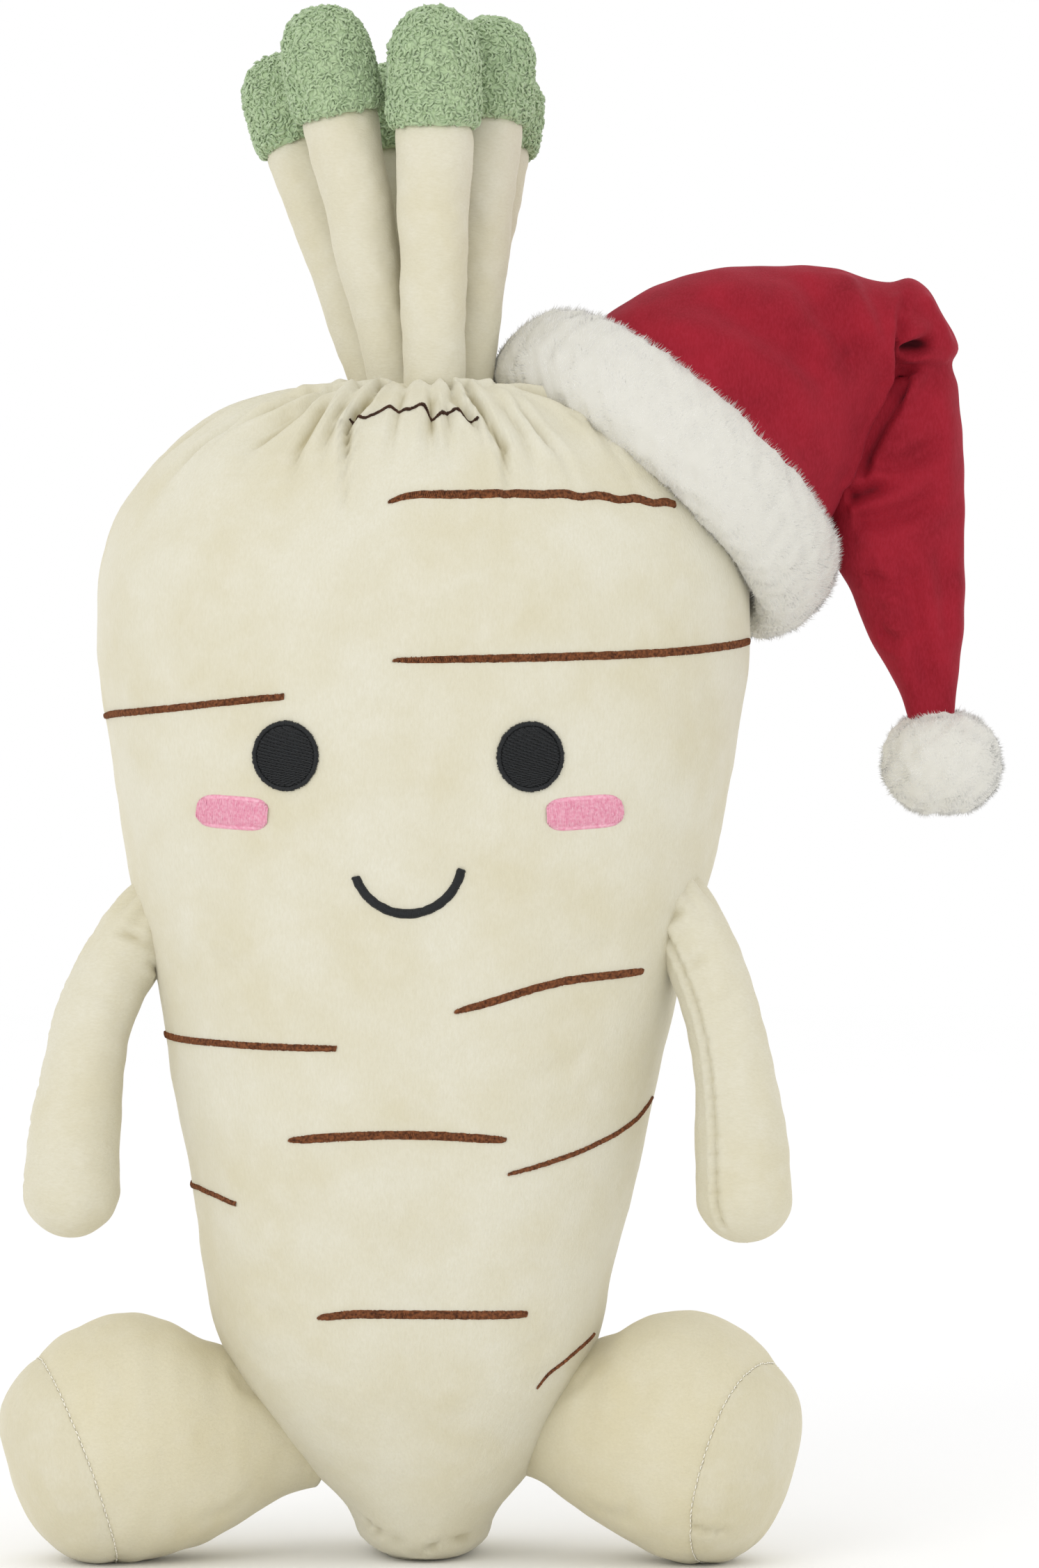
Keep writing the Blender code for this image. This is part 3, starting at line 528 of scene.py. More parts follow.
def new_piece(name, shape, finish, shading=None, fold_shade=None):
    """A mesh object of points and triangles, shaded smooth, or by the directions given for its points.

    fold_shade, a share from how deep each point lies in a fold, is kept on the mesh for the finish to paint
    as shade.
    """
    points, triangles = shape
    mesh = bpy.data.meshes.new(name)
    mesh.vertices.add(len(points))
    mesh.vertices.foreach_set("co", (points * MM).ravel())
    mesh.loops.add(triangles.size)
    mesh.loops.foreach_set("vertex_index", triangles.astype(np.int32).ravel())
    mesh.polygons.add(len(triangles))
    mesh.polygons.foreach_set("loop_start", np.arange(0, triangles.size, 3, dtype=np.int32))
    mesh.update(calc_edges=True)
    mesh.validate()
    mesh.shade_smooth()
    if shading is not None:
        mesh.normals_split_custom_set_from_vertices(shading)
    if fold_shade is not None:
        folds = mesh.attributes.new("fold_shade", "FLOAT", "POINT")
        folds.data.foreach_set("value", np.append(fold_shade, np.zeros(len(points) - len(fold_shade))))
    mesh.materials.append(finish)
    return add_object(name, mesh)


def attach(piece):
    """The piece belongs to the frame's root node."""
    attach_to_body(piece, "root")
    return piece


def dress(piece, node):
    """The piece stands for a node of the frame, whose solid is hidden."""
    attach(piece)
    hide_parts(node)
    return piece


def linear(hex_colour):
    """An sRGB hex colour as linear red, green, blue and alpha."""
    values = [int(hex_colour[i:i + 2], 16) / 255 for i in (1, 3, 5)]
    return (*[v / 12.92 if v <= 0.04045 else ((v + 0.055) / 1.055) ** 2.4 for v in values], 1)


def add_node(tree, kind, inputs=None, **settings):
    """Adds a node with its settings, and its inputs as values or as other nodes' outputs."""
    made = tree.nodes.new(kind)
    for name, value in settings.items():
        setattr(made, name, value)
    for name, value in (inputs or {}).items():
        if isinstance(value, bpy.types.NodeSocket):
            tree.links.new(value, made.inputs[name])
        else:
            made.inputs[name].default_value = value
    return made


def new_finish(name):
    finish = bpy.data.materials.new(name)
    finish.use_nodes = True
    tree = finish.node_tree
    shader = tree.nodes["Principled BSDF"]
    places = add_node(tree, "ShaderNodeTexCoord").outputs["Object"]
    return finish, tree, shader, places


def paint_fold_shade(tree, base, deep, most=0.65):
    """Painted shade: darkens the colour towards a deep one by the fold_shade share kept on the mesh, in folds
    and along seams.
    """
    folds = add_node(tree, "ShaderNodeAttribute", attribute_name="fold_shade").outputs["Fac"]
    return mix_by(tree, spread(tree, folds, 0.0, 1.0, most=most), base, deep)


def mix_by(tree, share, first, second):
    """A colour between two, each a socket or sRGB hex, by a share."""
    first, second = (linear(colour) if isinstance(colour, str) else colour for colour in (first, second))
    mixed = add_node(tree, "ShaderNodeMix", {0: share, 6: first, 7: second}, data_type="RGBA")
    return mixed.outputs[2]


def add_noise(tree, places, size, detail):
    """Noise with grains of a size in mm."""
    inputs = {"Vector": places, "Scale": 1 / (size * MM), "Detail": detail}
    return add_node(tree, "ShaderNodeTexNoise", inputs).outputs["Fac"]


def add_streaks(tree, places, stroke, roughness=0.5, turn=0):
    """Noise drawn out along each axis by the lengths of a stroke, in mm."""
    scale = tuple(1 / (length * MM) for length in stroke)
    drawn = add_node(tree, "ShaderNodeMapping", {"Vector": places, "Scale": scale, "Rotation": (0, turn, 0)})
    inputs = {"Vector": drawn.outputs["Vector"], "Scale": 1.0, "Detail": 3.0, "Roughness": roughness}
    return add_node(tree, "ShaderNodeTexNoise", inputs).outputs["Fac"]


def spread(tree, value, low, high, least=0.0, most=1.0):
    """What lies between low and high in a value, spread from least to most."""
    inputs = {"Value": value, "From Min": low, "From Max": high, "To Min": least, "To Max": most}
    return add_node(tree, "ShaderNodeMapRange", inputs).outputs["Result"]


def add_relief(tree, height, strength, depth, under=None):
    """Pile or thread that stands up by a depth in mm, over a broader relief where there is one."""
    inputs = {"Height": height, "Strength": strength, "Distance": depth * MM}
    if under is not None:
        inputs["Normal"] = under
    return add_node(tree, "ShaderNodeBump", inputs).outputs["Normal"]


def set_surface(
        tree, shader, base, roughness, gloss, sheen=0.0, sheen_roughness=0.5, tint="#FFFFFF", ior=1.55):
    """The shader's colour, and how the surface throws light back."""
    tree.links.new(base, shader.inputs["Base Color"])
    shader.inputs["Roughness"].default_value = roughness
    shader.inputs["IOR"].default_value = ior
    shader.inputs["Specular IOR Level"].default_value = gloss
    shader.inputs["Sheen Weight"].default_value = sheen
    shader.inputs["Sheen Roughness"].default_value = sheen_roughness
    shader.inputs["Sheen Tint"].default_value = linear(tint)


def make_velboa(name, stroke, pale="#D9D6C6", deep="#CFC8AD", worn="#DEDBCE"):
    """Cream velboa: a knitted polyester cloth whose 2 mm pile is cut short and brushed to lie one way.

    The eye sees a matt, creamy surface with fine brushed streaks along the pile, and soft patches that are
    paler or yellower where the pile has been stroked. stroke is how long the streaks are, in mm, along
    each axis.
    """
    finish, tree, shader, places = new_finish(name)
    streaks = add_streaks(tree, places, stroke, 0.62)
    patches = add_noise(tree, places, 45, 2.5)
    dabs = add_noise(tree, places, 12, 2.0)
    base = mix_by(tree, spread(tree, patches, 0.36, 0.66, 0.2, 0.8), pale, deep)
    base = mix_by(tree, spread(tree, dabs, 0.45, 0.75, most=0.28), base, worn)
    base = mix_by(tree, spread(tree, streaks, 0.32, 0.68, most=0.2), base, "#BDB494")
    # Painted shade: the cream darkens towards #A39669 deep in folds and along seams.
    base = paint_fold_shade(tree, base, "#A39669")
    set_surface(tree, shader, base, 0.92, 0.25, 0.35, 0.45, "#FFF9E8")
    brushed = add_relief(tree, dabs, 0.25, 1.2)
    tree.links.new(add_relief(tree, streaks, 0.5, 0.5, brushed), shader.inputs["Normal"])
    return finish


def make_sherpa():
    """Sage green sherpa: polyester pile tumbled until it curls into small tufts of 2 to 3 mm.

    The eye sees pale green curls with deeper green between them.
    """
    finish, tree, shader, places = new_finish("sage_sherpa")
    base = mix_by(tree, add_noise(tree, places, 3, 2.0), "#9BB28B", "#BACDA4")
    patches = add_noise(tree, places, 22, 1.0)
    base = mix_by(tree, spread(tree, patches, 0.35, 0.7, most=0.45), base, "#B7CAA2")
    set_surface(tree, shader, base, 0.9, 0.25, 0.45, 0.5, "#EAF6E2")
    fibres = add_noise(tree, places, 0.5, 2.0)
    tree.links.new(add_relief(tree, fibres, 0.4, 0.2), shader.inputs["Normal"])
    return finish


def make_velour():
    """Red velour: a knitted cloth with a dense cut pile under 1 mm.

    The eye sees deep crimson that brightens to pinkish red at glancing angles, with fine streaks where
    the pile is disturbed.
    """
    finish, tree, shader, places = new_finish("red_velour")
    streaks = add_streaks(tree, places, (0.8, 1.2, 2.4), turn=radians(35))
    base = mix_by(tree, add_noise(tree, places, 20, 3.0), "#720A18", "#A11A2C")
    base = mix_by(tree, spread(tree, streaks, 0.38, 0.7, most=0.34), base, "#A3273A")
    # Painted shade: the red darkens nearly to black in the hat's deep folds and its slit.
    base = paint_fold_shade(tree, base, "#2A040B", 0.85)
    set_surface(tree, shader, base, 0.85, 0.2, 0.22, 0.35, "#E0607A")
    tree.links.new(add_relief(tree, streaks, 0.45, 0.35), shader.inputs["Normal"])
    return finish


def make_faux_fur(name, deep, pale):
    """White faux fur: fine straight acrylic pile about 10 mm long, knitted into a backing.

    The eye sees a bright soft mass with faint grey depths between locks, and a feathery edge. The finish is
    made as lit and shaded copies: the single hairs' copy is painted paler, as painted light for light that
    passes through them, and the dense pile's copy darker, as painted shade for the hairs packed over it.
    """
    finish, tree, shader, places = new_finish(name)
    base = mix_by(tree, add_noise(tree, places, 6, 3.0), deep, pale)
    set_surface(tree, shader, base, 0.8, 0.2, 0.25, ior=1.5)
    return finish


def make_thread(name, dark, light, roughness=0.42, sheen=0.2, gloss=0.5):
    """Embroidery thread: trilobal polyester, two plies, laid 0.5 mm wide.

    The eye sees a silky band across each stitch, and small changes of shade from thread to thread.
    """
    finish, tree, shader, places = new_finish(name)
    shades = add_noise(tree, places, 1.2, 2.0)
    base = mix_by(tree, spread(tree, shades, 0.3, 0.7), dark, light)
    set_surface(tree, shader, base, roughness, gloss, sheen, ior=1.57)
    plies = add_noise(tree, places, 0.3, 1.0)
    tree.links.new(add_relief(tree, plies, 0.3, 0.1), shader.inputs["Normal"])
    return finish


def body_at(share, turn):
    """Places on the body's cloth before its folds are pressed in."""
    height, half_width, half_depth, shift_x, shift_y = np.moveaxis(smooth_curve(BODY_SECTIONS, share), -1, 0)
    side, front = round_out(turn, BODY_POWER)
    gathered = smooth_step(PLEAT_FOOT, PLEAT_TOP, height)
    fold = PLEAT_DEPTH * gathered * np.cos(PLEATS * turn)
    return np.stack([
        shift_x + (half_width + fold) * side,
        shift_y - (half_depth + fold) * front,
        height + fold * gathered * 0.5,
    ], axis=-1)


table_shares = np.linspace(0, 1, 2000)
table = smooth_curve(BODY_SECTIONS, table_shares)


def share_at(height):
    return np.interp(height, table[:, 0], table_shares)


def turn_at(x, height):
    """The turn at which the front of the body has that x, at a height."""
    half_width = np.interp(height, table[:, 0], table[:, 1])
    reach = (x - np.interp(height, table[:, 0], table[:, 3])) / half_width
    return np.sign(reach) * np.arcsin(np.minimum(np.abs(reach) ** (BODY_POWER / 2), 1))


def body_out(share, turn):
    step = 0.003
    along = body_at(share + step, turn) - body_at(share - step, turn)
    around = body_at(share, turn + step) - body_at(share, turn - step)
    return unit(np.cross(around, along))


def neck_folds():
    """Every fold at the neck, as a route in space with its depth and width."""
    draw = np.random.default_rng(20)
    folds = []
    for route, depth, width in NECK_FOLDS:
        places = np.array(route, float)
        heights = np.minimum(places[:, 1], GATHER_HEIGHT)
        folds.append((body_at(share_at(heights), turn_at(places[:, 0], heights)), depth, width))
    pitch = (360 - 2 * SIDE_FOLDS_FROM) / SIDE_FOLDS
    for k in range(SIDE_FOLDS):
        turn = radians(SIDE_FOLDS_FROM + pitch * (k + draw.uniform(0.2, 0.8)))
        foot = draw.uniform(438, 472)
        drift = radians(draw.uniform(-5, 5))
        steps = np.linspace(0, 1, 6)
        heights = GATHER_HEIGHT + (foot - GATHER_HEIGHT) * steps**1.6
        laid = body_at(share_at(heights), turn + drift * steps)
        folds.append((laid, draw.uniform(2.4, 3.8), draw.uniform(2.2, 2.9)))
    return folds


def fold_body(points, outwards):
    """Presses the neck's folds, the creases and the side seams into places on the body's cloth."""
    points += outwards * (soft_noise(points, 70, 3) * 0.7 + soft_noise(points, 26, 4) * 0.22)[:, None]
    points += outwards * (soft_noise(points, 5, 5) * 0.07)[:, None]
    for route, depth, width in neck_folds():
        press_fold(points, outwards, route, depth, width, fade_in=0, fade_out=0.5)
    for route, depth, width in BODY_CREASES:
        press_fold(points, outwards, body_at(*flat_to_body(np.array(route, float)).T), depth, width)
    seam_shares = np.linspace(0.12, 0.97, 60)
    for turn in SIDE_SEAMS:
        seam = body_at(seam_shares, turn)
        press_fold(points, outwards, seam, SIDE_SEAM_SINK, SIDE_SEAM_WIDTH, 0.02, 0.02, flank=0.2)


def make_body(velboa):
    shares = 1 - (1 - np.arange(BODY_RINGS + 1) / BODY_RINGS) ** RING_SPREAD
    share, turn = np.meshgrid(shares, turns_round(BODY_SIDES), indexing="ij")
    points = body_at(share, turn).reshape(-1, 3)
    outwards = body_out(np.clip(share, 0.004, 0.996), turn).reshape(-1, 3)
    before = points.copy()
    fold_body(points, outwards)
    # How deep the cloth lies in folds and seams, kept for the finish's painted shade.
    fold_shade = depth_of_folds(points, before, outwards, 1.1, 4.2)
    points[:, 2] = np.maximum(points[:, 2], 0)
    grid = points.reshape(BODY_RINGS + 1, BODY_SIDES, 3)
    grid[0, :, 2] = 0
    shape = skin(grid, start=SEAT_MIDDLE, end=NECK_MIDDLE)
    dress(new_piece("body_velboa", shape, velboa, fold_shade=fold_shade), "body")


def on_body(share, turn, proud):
    """Places on the body's folded cloth, or a little above or below it, and the directions out of it."""
    points = body_at(share, turn)
    out = body_out(share, turn)
    flat_points, flat_out = points.reshape(-1, 3).copy(), out.reshape(-1, 3)
    fold_body(flat_points, flat_out)
    return flat_points.reshape(points.shape) + out * np.asarray(proud)[..., None], out


def tube_grid(points, radii, sides):
    """Rings of points round a route."""
    along = unit(np.gradient(points, axis=0))
    across = unit(np.cross(along, BACK))
    turns = turns_round(sides)[:, None]
    ring = np.cos(turns) * across[:, None, :] + np.sin(turns) * np.cross(along, across)[:, None, :]
    return points[:, None, :] + ring * radii[:, None, None]


def make_stem(name, velboa):
    foot, top, foot_radius, _ = STEMS[name]
    start, end = np.array((*foot, NECK_HEIGHT), float), np.array(top, float)
    root = start - unit(end - start) * STEM_ROOT
    share = np.linspace(0, 1, STEM_RINGS)
    radii = foot_radius + (STEM_TOP_RADIUS - foot_radius) * share**1.3
    # Where it is sewn to its tip the cloth draws in.
    radii -= 1.0 * np.exp(-((1 - share) / 0.02) ** 2)
    grid = tube_grid(root + (end + unit(end - start) * 1.5 - root) * share[:, None], radii, STEM_SIDES)
    points, outwards = loosened(grid, (34, 11, 0.5), (12, 12, 0.2))
    before = points.copy()
    seam = grid[::4, (STEM_SIDES * 3) // 4]
    press_fold(points, outwards, seam, STEM_SEAM_SINK, STEM_SEAM_WIDTH, 0.02, 0.02, flank=0.2)
    # How deep the cloth lies in its seam, kept for the finish's painted shade.
    fold_shade = depth_of_folds(points, before, outwards, 0.4, 3.5)
    shape = skin(points.reshape(grid.shape))
    dress(new_piece(f"stem_{name}_velboa", shape, velboa, fold_shade=fold_shade), "stem_" + name)


def scatter_on(shape, count, draw):
    """Random places on a skin, evenly over its area, and the directions out of it there."""
    points, triangles = shape
    a, b, c = (points[triangles[:, i]] for i in range(3))
    normals = np.cross(b - a, c - a)
    areas = np.linalg.norm(normals, axis=1)
    reach = np.cumsum(areas) / areas.sum()
    picks = np.searchsorted(reach, (np.arange(count) + draw.uniform(0, 1, count)) / count)
    picks = np.minimum(picks, len(triangles) - 1)
    u, v = draw.uniform(0, 1, (2, count))
    flip = u + v > 1
    u[flip], v[flip] = 1 - u[flip], 1 - v[flip]
    places = a[picks] + (b - a)[picks] * u[:, None] + (c - a)[picks] * v[:, None]
    return places, unit(normals[picks])


def make_tip(name, seed, sherpa):
    """The curly end of a stem: a thimble of cloth, covered with small bent tufts."""
    foot, top, _, length = STEMS[name]
    draw = np.random.default_rng(seed)
    end = np.array(top, float)
    along = unit(end - np.array((*foot, NECK_HEIGHT), float))
    outline = smooth_curve(TIP_OUTLINE, np.linspace(0, 1, TIP_RINGS))
    route = end + along * (0.6 + outline[:, :1] * (length - 2.4))
    radii = outline[:, 1] * TIP_CORE_RADIUS
    grid = tube_grid(route, radii, TIP_SIDES)
    core = skin(loosened(grid, (5, seed, 0.5))[0].reshape(grid.shape))
    places, out = scatter_on(core, CURLS, draw)
    keep = (places - end) @ along > 0.9
    places, out = places[keep], out[keep]
    count = len(places)
    heading = unit(np.cross(out, draw.normal(size=(count, 3))))
    binormal = np.cross(heading, out)
    size = CURL_SIZE * draw.uniform(0.75, 1.35, (count, 1))
    bend = draw.uniform(0.4, 1.1, (count, 1)) * draw.choice((-1, 1), (count, 1))
    rise = draw.uniform(0, 0.9, (count, 1))
    paths = np.stack([
        places + out * (rise + 0.7 * sin(pi * s) - 0.7)
        + heading * size * (2 * s - 1)
        + binormal * size * bend * (sin(pi * s) - 0.5)
        for s in np.linspace(0, 1, CURL_POINTS)
    ], axis=1)
    thickness = CURL_THICKNESS * draw.uniform(0.8, 1.2, (count, 1)) * np.array((1, 0.9, 1.15, 0.9, 1))
    curls = tubes(paths, thickness, binormal, 3)
    piece = new_piece(f"stem_tip_{name}_sherpa", gather(core, curls), sherpa)
    dress(piece, "stem_tip_" + name)


def make_arm(name, velboa):
    route, seams = ARMS[name]
    share = np.linspace(ARM_START, 1, ARM_RINGS)
    rows = smooth_curve(route, share)
    points, radii = rows[:, :3], rows[:, 3]
    along = unit(points[-1] - points[-2])
    bend = np.linspace(0, radians(87), 22)[1:]
    points = np.vstack([points, points[-1] + along * radii[-1] * np.sin(bend)[:, None]])
    radii = np.append(radii, radii[-1] * np.cos(bend))
    grid = tube_grid(points, radii, ARM_SIDES)
    cloth, outwards = loosened(grid, (42, 21, 0.55), (14, 22, 0.24))
    before = cloth.copy()
    press_fronts(cloth, before, outwards, ARM_FOLDS[name])
    for degrees_round in seams:
        column = int(round(degrees_round / 360 * ARM_SIDES)) % ARM_SIDES
        seam = grid[2:-8:3, column]
        press_fold(cloth, outwards, seam, ARM_SEAM_SINK, ARM_SEAM_WIDTH, 0.01, 0.05, flank=0.32)
        # Short puckers run off the seam where the cloth is eased in.
        for k in range(1, len(seam) - 2, 2):
            out_here = outwards.reshape(grid.shape)[2 + 3 * k, column]
            off = unit(np.cross(seam[k + 1] - seam[k - 1], out_here))
            for side in (-1, 1):
                pucker = np.array([seam[k], seam[k] + off * side * (4 + 2 * sin(5 * k + side))])
                press_fold(cloth, outwards, pucker, *SEAM_PUCKER, 0, 0.7, flank=0.3)
    # Folds where the shoulder is gathered to the body.
    for k in range(SHOULDER_PUCKERS):
        column = int((k + 0.5) / SHOULDER_PUCKERS * ARM_SIDES)
        press_fold(cloth, outwards, grid[0:26:5, column], *SHOULDER_PUCKER, 0, 0.7)
    # How deep the cloth lies in folds and seams, kept for the finish's painted shade.
    fold_shade = depth_of_folds(cloth, before, outwards, 0.7, 3.2)
    shape = skin(cloth.reshape(grid.shape), end=points[-1] + along * 0.05)
    dress(new_piece(f"arm_{name}_velboa", shape, velboa, fold_shade=fold_shade), "arm_" + name)


def leg_grid(leg):
    share = np.linspace(0, 1, LEG_RINGS)
    reach, height, half_height, half_width = smooth_curve(LEG_SECTIONS, share).T
    tuck = leg["tuck"] * (1 - smooth_step(TUCK_FULL, TUCK_END, reach)) / 2
    height, half_height = height + tuck, half_height - tuck
    up, across = round_out(turns_round(LEG_SIDES), LEG_POWER)
    level = (height[:, None] + half_height[:, None] * up) * leg["height"]
    width = half_width[:, None] * across
    reach = np.broadcast_to((reach * leg["length"])[:, None], width.shape)
    turn = leg["forward"]
    return np.stack([
        leg["hip_x"] + leg["side"] * (reach * cos(turn) - width * sin(turn)),
        HIP_BACK - reach * sin(turn) - width * cos(turn),
        level,
    ], axis=-1)


def make_leg(name, velboa, sole_velboa, thread):
    """The leg and its sole, drawn in to the seam between them, with the seam's stitches."""
    leg = LEGS[name]
    grid = leg_grid(leg)
    points, outwards = loosened(grid, (60, 31, 0.7), (20, 32, 0.3))
    before = points.copy()
    front, down = leg["seam_front"], leg["seam_down"]
    facing = np.array((leg["side"] * cos(front) * cos(down), -sin(front) * cos(down), -sin(down)))
    reach = leg["seam"] * leg["length"]
    seam = np.array((
        leg["hip_x"] + leg["side"] * reach * cos(leg["forward"]),
        HIP_BACK - reach * sin(leg["forward"]),
        SEAM_HEIGHT))
    away = (points - seam) @ facing
    round_it = np.arctan2(points[:, 2] - SEAM_HEIGHT, points[:, 1] - seam[1])
    pucker = np.sin(46 * round_it + 3 * np.sin(5 * round_it)) * np.exp(-np.abs(away) / 4.5)
    sink = SEAM_SINK * np.exp(-np.abs(away) / SEAM_WIDTH) + 0.7 * np.exp(-((away / 9) ** 2))
    points += outwards * (0.28 * pucker - sink)[:, None]
    # The seam on top of the leg and the one under it, from the hip to the sole.
    for column in (LEG_SIDES // 4 + 6, (LEG_SIDES * 3) // 4):
        seam_line = grid[4:-24:5, column]
        press_fold(points, outwards, seam_line, LEG_SEAM_SINK, LEG_SEAM_WIDTH, 0.02, 0.1, flank=0.25)
    press_fronts(points, before, outwards, LEG_FOLDS[name])
    # How deep the cloth lies in folds and seams, kept for the finish's painted shade.
    fold_shade = depth_of_folds(points, before, outwards, 1.0, 5)
    points[:, 2] = np.maximum(points[:, 2], 0)
    shape = skin(points.reshape(grid.shape))
    loops = {}
    for part, keep_sole, finish in (("leg", False, velboa), ("sole", True, sole_velboa)):
        piece = new_piece(f"{part}_{name}_velboa", shape, finish, fold_shade=fold_shade)
        loops[part] = cut_at_seam(piece, seam + facing * (0.05 if keep_sole else -0.05), facing, keep_sole)
        dress(piece, f"{part}_{name}")
    stitches = seam_stitches(loops["leg"], facing)
    attach(new_piece(f"sole_{name}_stitches", stitches, thread))


def cut_at_seam(piece, place, facing, keep_far):
    """Cuts a piece at a plane, closes it there and gives the points round the cut, in mm."""
    shape = bmesh.new()
    shape.from_mesh(piece.data)
    bmesh.ops.bisect_plane(
        shape, geom=shape.verts[:] + shape.edges[:] + shape.faces[:], plane_co=Vector(place * MM),
        plane_no=Vector(facing), clear_inner=keep_far, clear_outer=not keep_far)
    rim = [edge for edge in shape.edges if edge.is_boundary]
    loop = ordered_rim(rim)
    bmesh.ops.edgeloop_fill(shape, edges=rim)
    bmesh.ops.triangulate(shape, faces=[face for face in shape.faces if len(face.verts) > 4])
    shape.to_mesh(piece.data)
    shape.free()
    return loop


def ordered_rim(rim):
    """The points of a closed chain of edges, in order, in mm."""
    edge = rim[0]
    corner, start = edge.verts[1], edge.verts[0]
    loop = [start.co.copy()]
    while corner != start:
        loop.append(corner.co.copy())
        edge = next(e for e in corner.link_edges if e.is_boundary and e != edge)
        corner = edge.other_vert(corner)
    return np.array(loop) / MM


def seam_stitches(loop, facing):
    """Short lengths of thread along a seam, one every few millimetres."""
    closed = np.vstack([loop, loop[:1]])
    steps = np.append(0, np.cumsum(np.linalg.norm(np.diff(closed, axis=0), axis=1)))
    count = int(steps[-1] / SEAM_STITCH)
    middle = loop.mean(axis=0)
    draw = np.random.default_rng(5)
    starts = (np.arange(count) + draw.uniform(-0.08, 0.08, count)) * SEAM_STITCH
    paths = []
    for place, lift in ((0.0, -0.5), (0.5, 0.25), (1.2, 0.4), (1.9, 0.25), (2.4, -0.5)):
        reach = (starts + place) % steps[-1]
        at = np.stack([np.interp(reach, steps, closed[:, i]) for i in range(3)], axis=-1)
        paths.append(at + unit(at - middle) * lift + facing * draw.uniform(-0.15, 0.15, (count, 1)))
    paths = np.stack(paths, axis=1)
    paths[..., 2] = np.maximum(paths[..., 2], SEAM_THREAD)
    return tubes(paths, SEAM_THREAD, np.broadcast_to(facing, (count, 3)))


def lock_heights(points):
    """How far the dense pile stands up in soft locks, 5 to 9 mm across."""
    return 0.6 * soft_noise(points, 10, 44) + 0.35 * soft_noise(points, 5, 45)


def make_fur(node, core, hairs, wisps, length, lean, seed, fur, hair_fur_painted_light):
    """A core of dense pile, and fine straight hairs and fewer bent, longer wisps that lean out of it.

    A hair is shaded as the pile round it is, and casts no shade, because light scatters through fine white
    hairs and not off the side of one.
    """
    dress(new_piece(node + "_fur", core, fur), node)
    draw = np.random.default_rng(seed)
    parts, shading = [], []
    for count, points, share, root in ((hairs, 2, 1.0, 0.16), (wisps, 3, 1.5, 0.12)):
        places, out = scatter_on(core, count, draw)
        heading = unit(out * 0.3 + lean(places) + draw.normal(size=(count, 3)) * 0.24)
        reach = length * share * draw.uniform(0.5, 1.15, (count, 1))
        start = places - out * 0.5
        paths, radii = [start, places + heading * reach], (root, 0)
        if points == 3:
            bent = unit(heading + lean(places) * 0.6 + draw.normal(size=(count, 3)) * 0.25)
            middle = places + heading * reach * 0.5
            paths, radii = [start, middle, middle + bent * reach * 0.55], (root, root * 0.8, 0)
        parts.append(tubes(np.stack(paths, axis=1), radii, out, 3, rooted=True))
        shading.append(np.repeat(out, len(parts[-1][0]) // count, axis=0))
    piece = new_piece(node + "_hairs", gather(*parts), hair_fur_painted_light, np.vstack(shading))
    piece.visible_shadow = False
    piece.visible_diffuse = False
    attach(piece)


def make_brim(fur, hair_fur_painted_light):
    out = unit(np.array((-BRIM_SIDE[2] * cos(BRIM_LEAN), sin(BRIM_LEAN), BRIM_SIDE[0] * cos(BRIM_LEAN))))
    near = np.cross(BRIM_SIDE, out)
    angle = turns_round(BRIM_RINGS)
    away = BRIM_SIDE * np.cos(angle)[:, None] + near * np.sin(angle)[:, None]
    centre = (
        BRIM_CENTRE + BRIM_SIDE * (BRIM_HALF_LENGTH * np.cos(angle))[:, None]
        + near * (BRIM_HALF_DEPTH * np.sin(angle))[:, None])
    up, across = round_out(turns_round(BRIM_SIDES), BRIM_POWER)
    grid = (
        centre[:, None, :] + away[:, None, :] * (BRIM_CORE_THICK * across)[None, :, None]
        + out * (BRIM_CORE_WIDTH * up)[None, :, None])
    grid = grid + unit(grid - centre[:, None, :]) * lock_heights(grid)[..., None]
    core = skin(grid, wrap=True)
    flow = np.array((0.5, 0, 0.35))

    def lean(places):
        """Pile stands towards the hat at its upper edge and lies back over the body at its lower edge."""
        level = ((places - BRIM_CENTRE) @ out / BRIM_CORE_WIDTH)[:, None]
        return out * level * 0.5 + flow * 0.9 + 0.4 * wander(places, 16, (41, 42, 43))

    make_fur("hat_brim", core, BRIM_HAIRS, BRIM_WISPS, BRIM_HAIR, lean, 7, fur, hair_fur_painted_light)


def make_hat(velour):
    share = np.linspace(0, 1, HAT_RINGS)[:, None]
    outer_x, outer_z, inner_x, inner_z, depth = smooth_curve(HAT_SECTIONS, share[:, 0]).T[..., None]
    across, front = round_out(turns_round(HAT_SIDES), HAT_POWER)
    grid = np.stack([
        (outer_x + inner_x) / 2 + (outer_x - inner_x) / 2 * across,
        HAT_BACK * smooth_step(0.1, 0.6, share) - depth * front,
        (outer_z + inner_z) / 2 + (outer_z - inner_z) / 2 * across,
    ], axis=-1)
    base = grid.reshape(-1, 3)
    points, outwards = loosened(grid, (55, 51, 0.8), (22, 52, 0.35))
    for route, depth_in, width, lap, fade_in, fade_out in HAT_FOLDS:
        laid = on_cloth(base, outwards, route)
        press_fold(points, outwards, laid, depth_in, width, fade_in, fade_out, lap=lap)
        # The back falls in folds like the front's, but lower ones.
        behind = on_cloth(base, outwards, [(x + 3, z - 4) for x, z in route], facing=1)
        press_fold(points, outwards, behind, depth_in * 0.6, width * 1.3, 0.25, 0.3)
    # How deep the cloth lies in its folds and slit, kept for the finish's painted shade.
    fold_shade = depth_of_folds(points, base, outwards, 3.0, 6.5)
    dress(new_piece("hat_cloth_velour", skin(points.reshape(grid.shape)), velour, fold_shade=fold_shade), "hat_cloth")


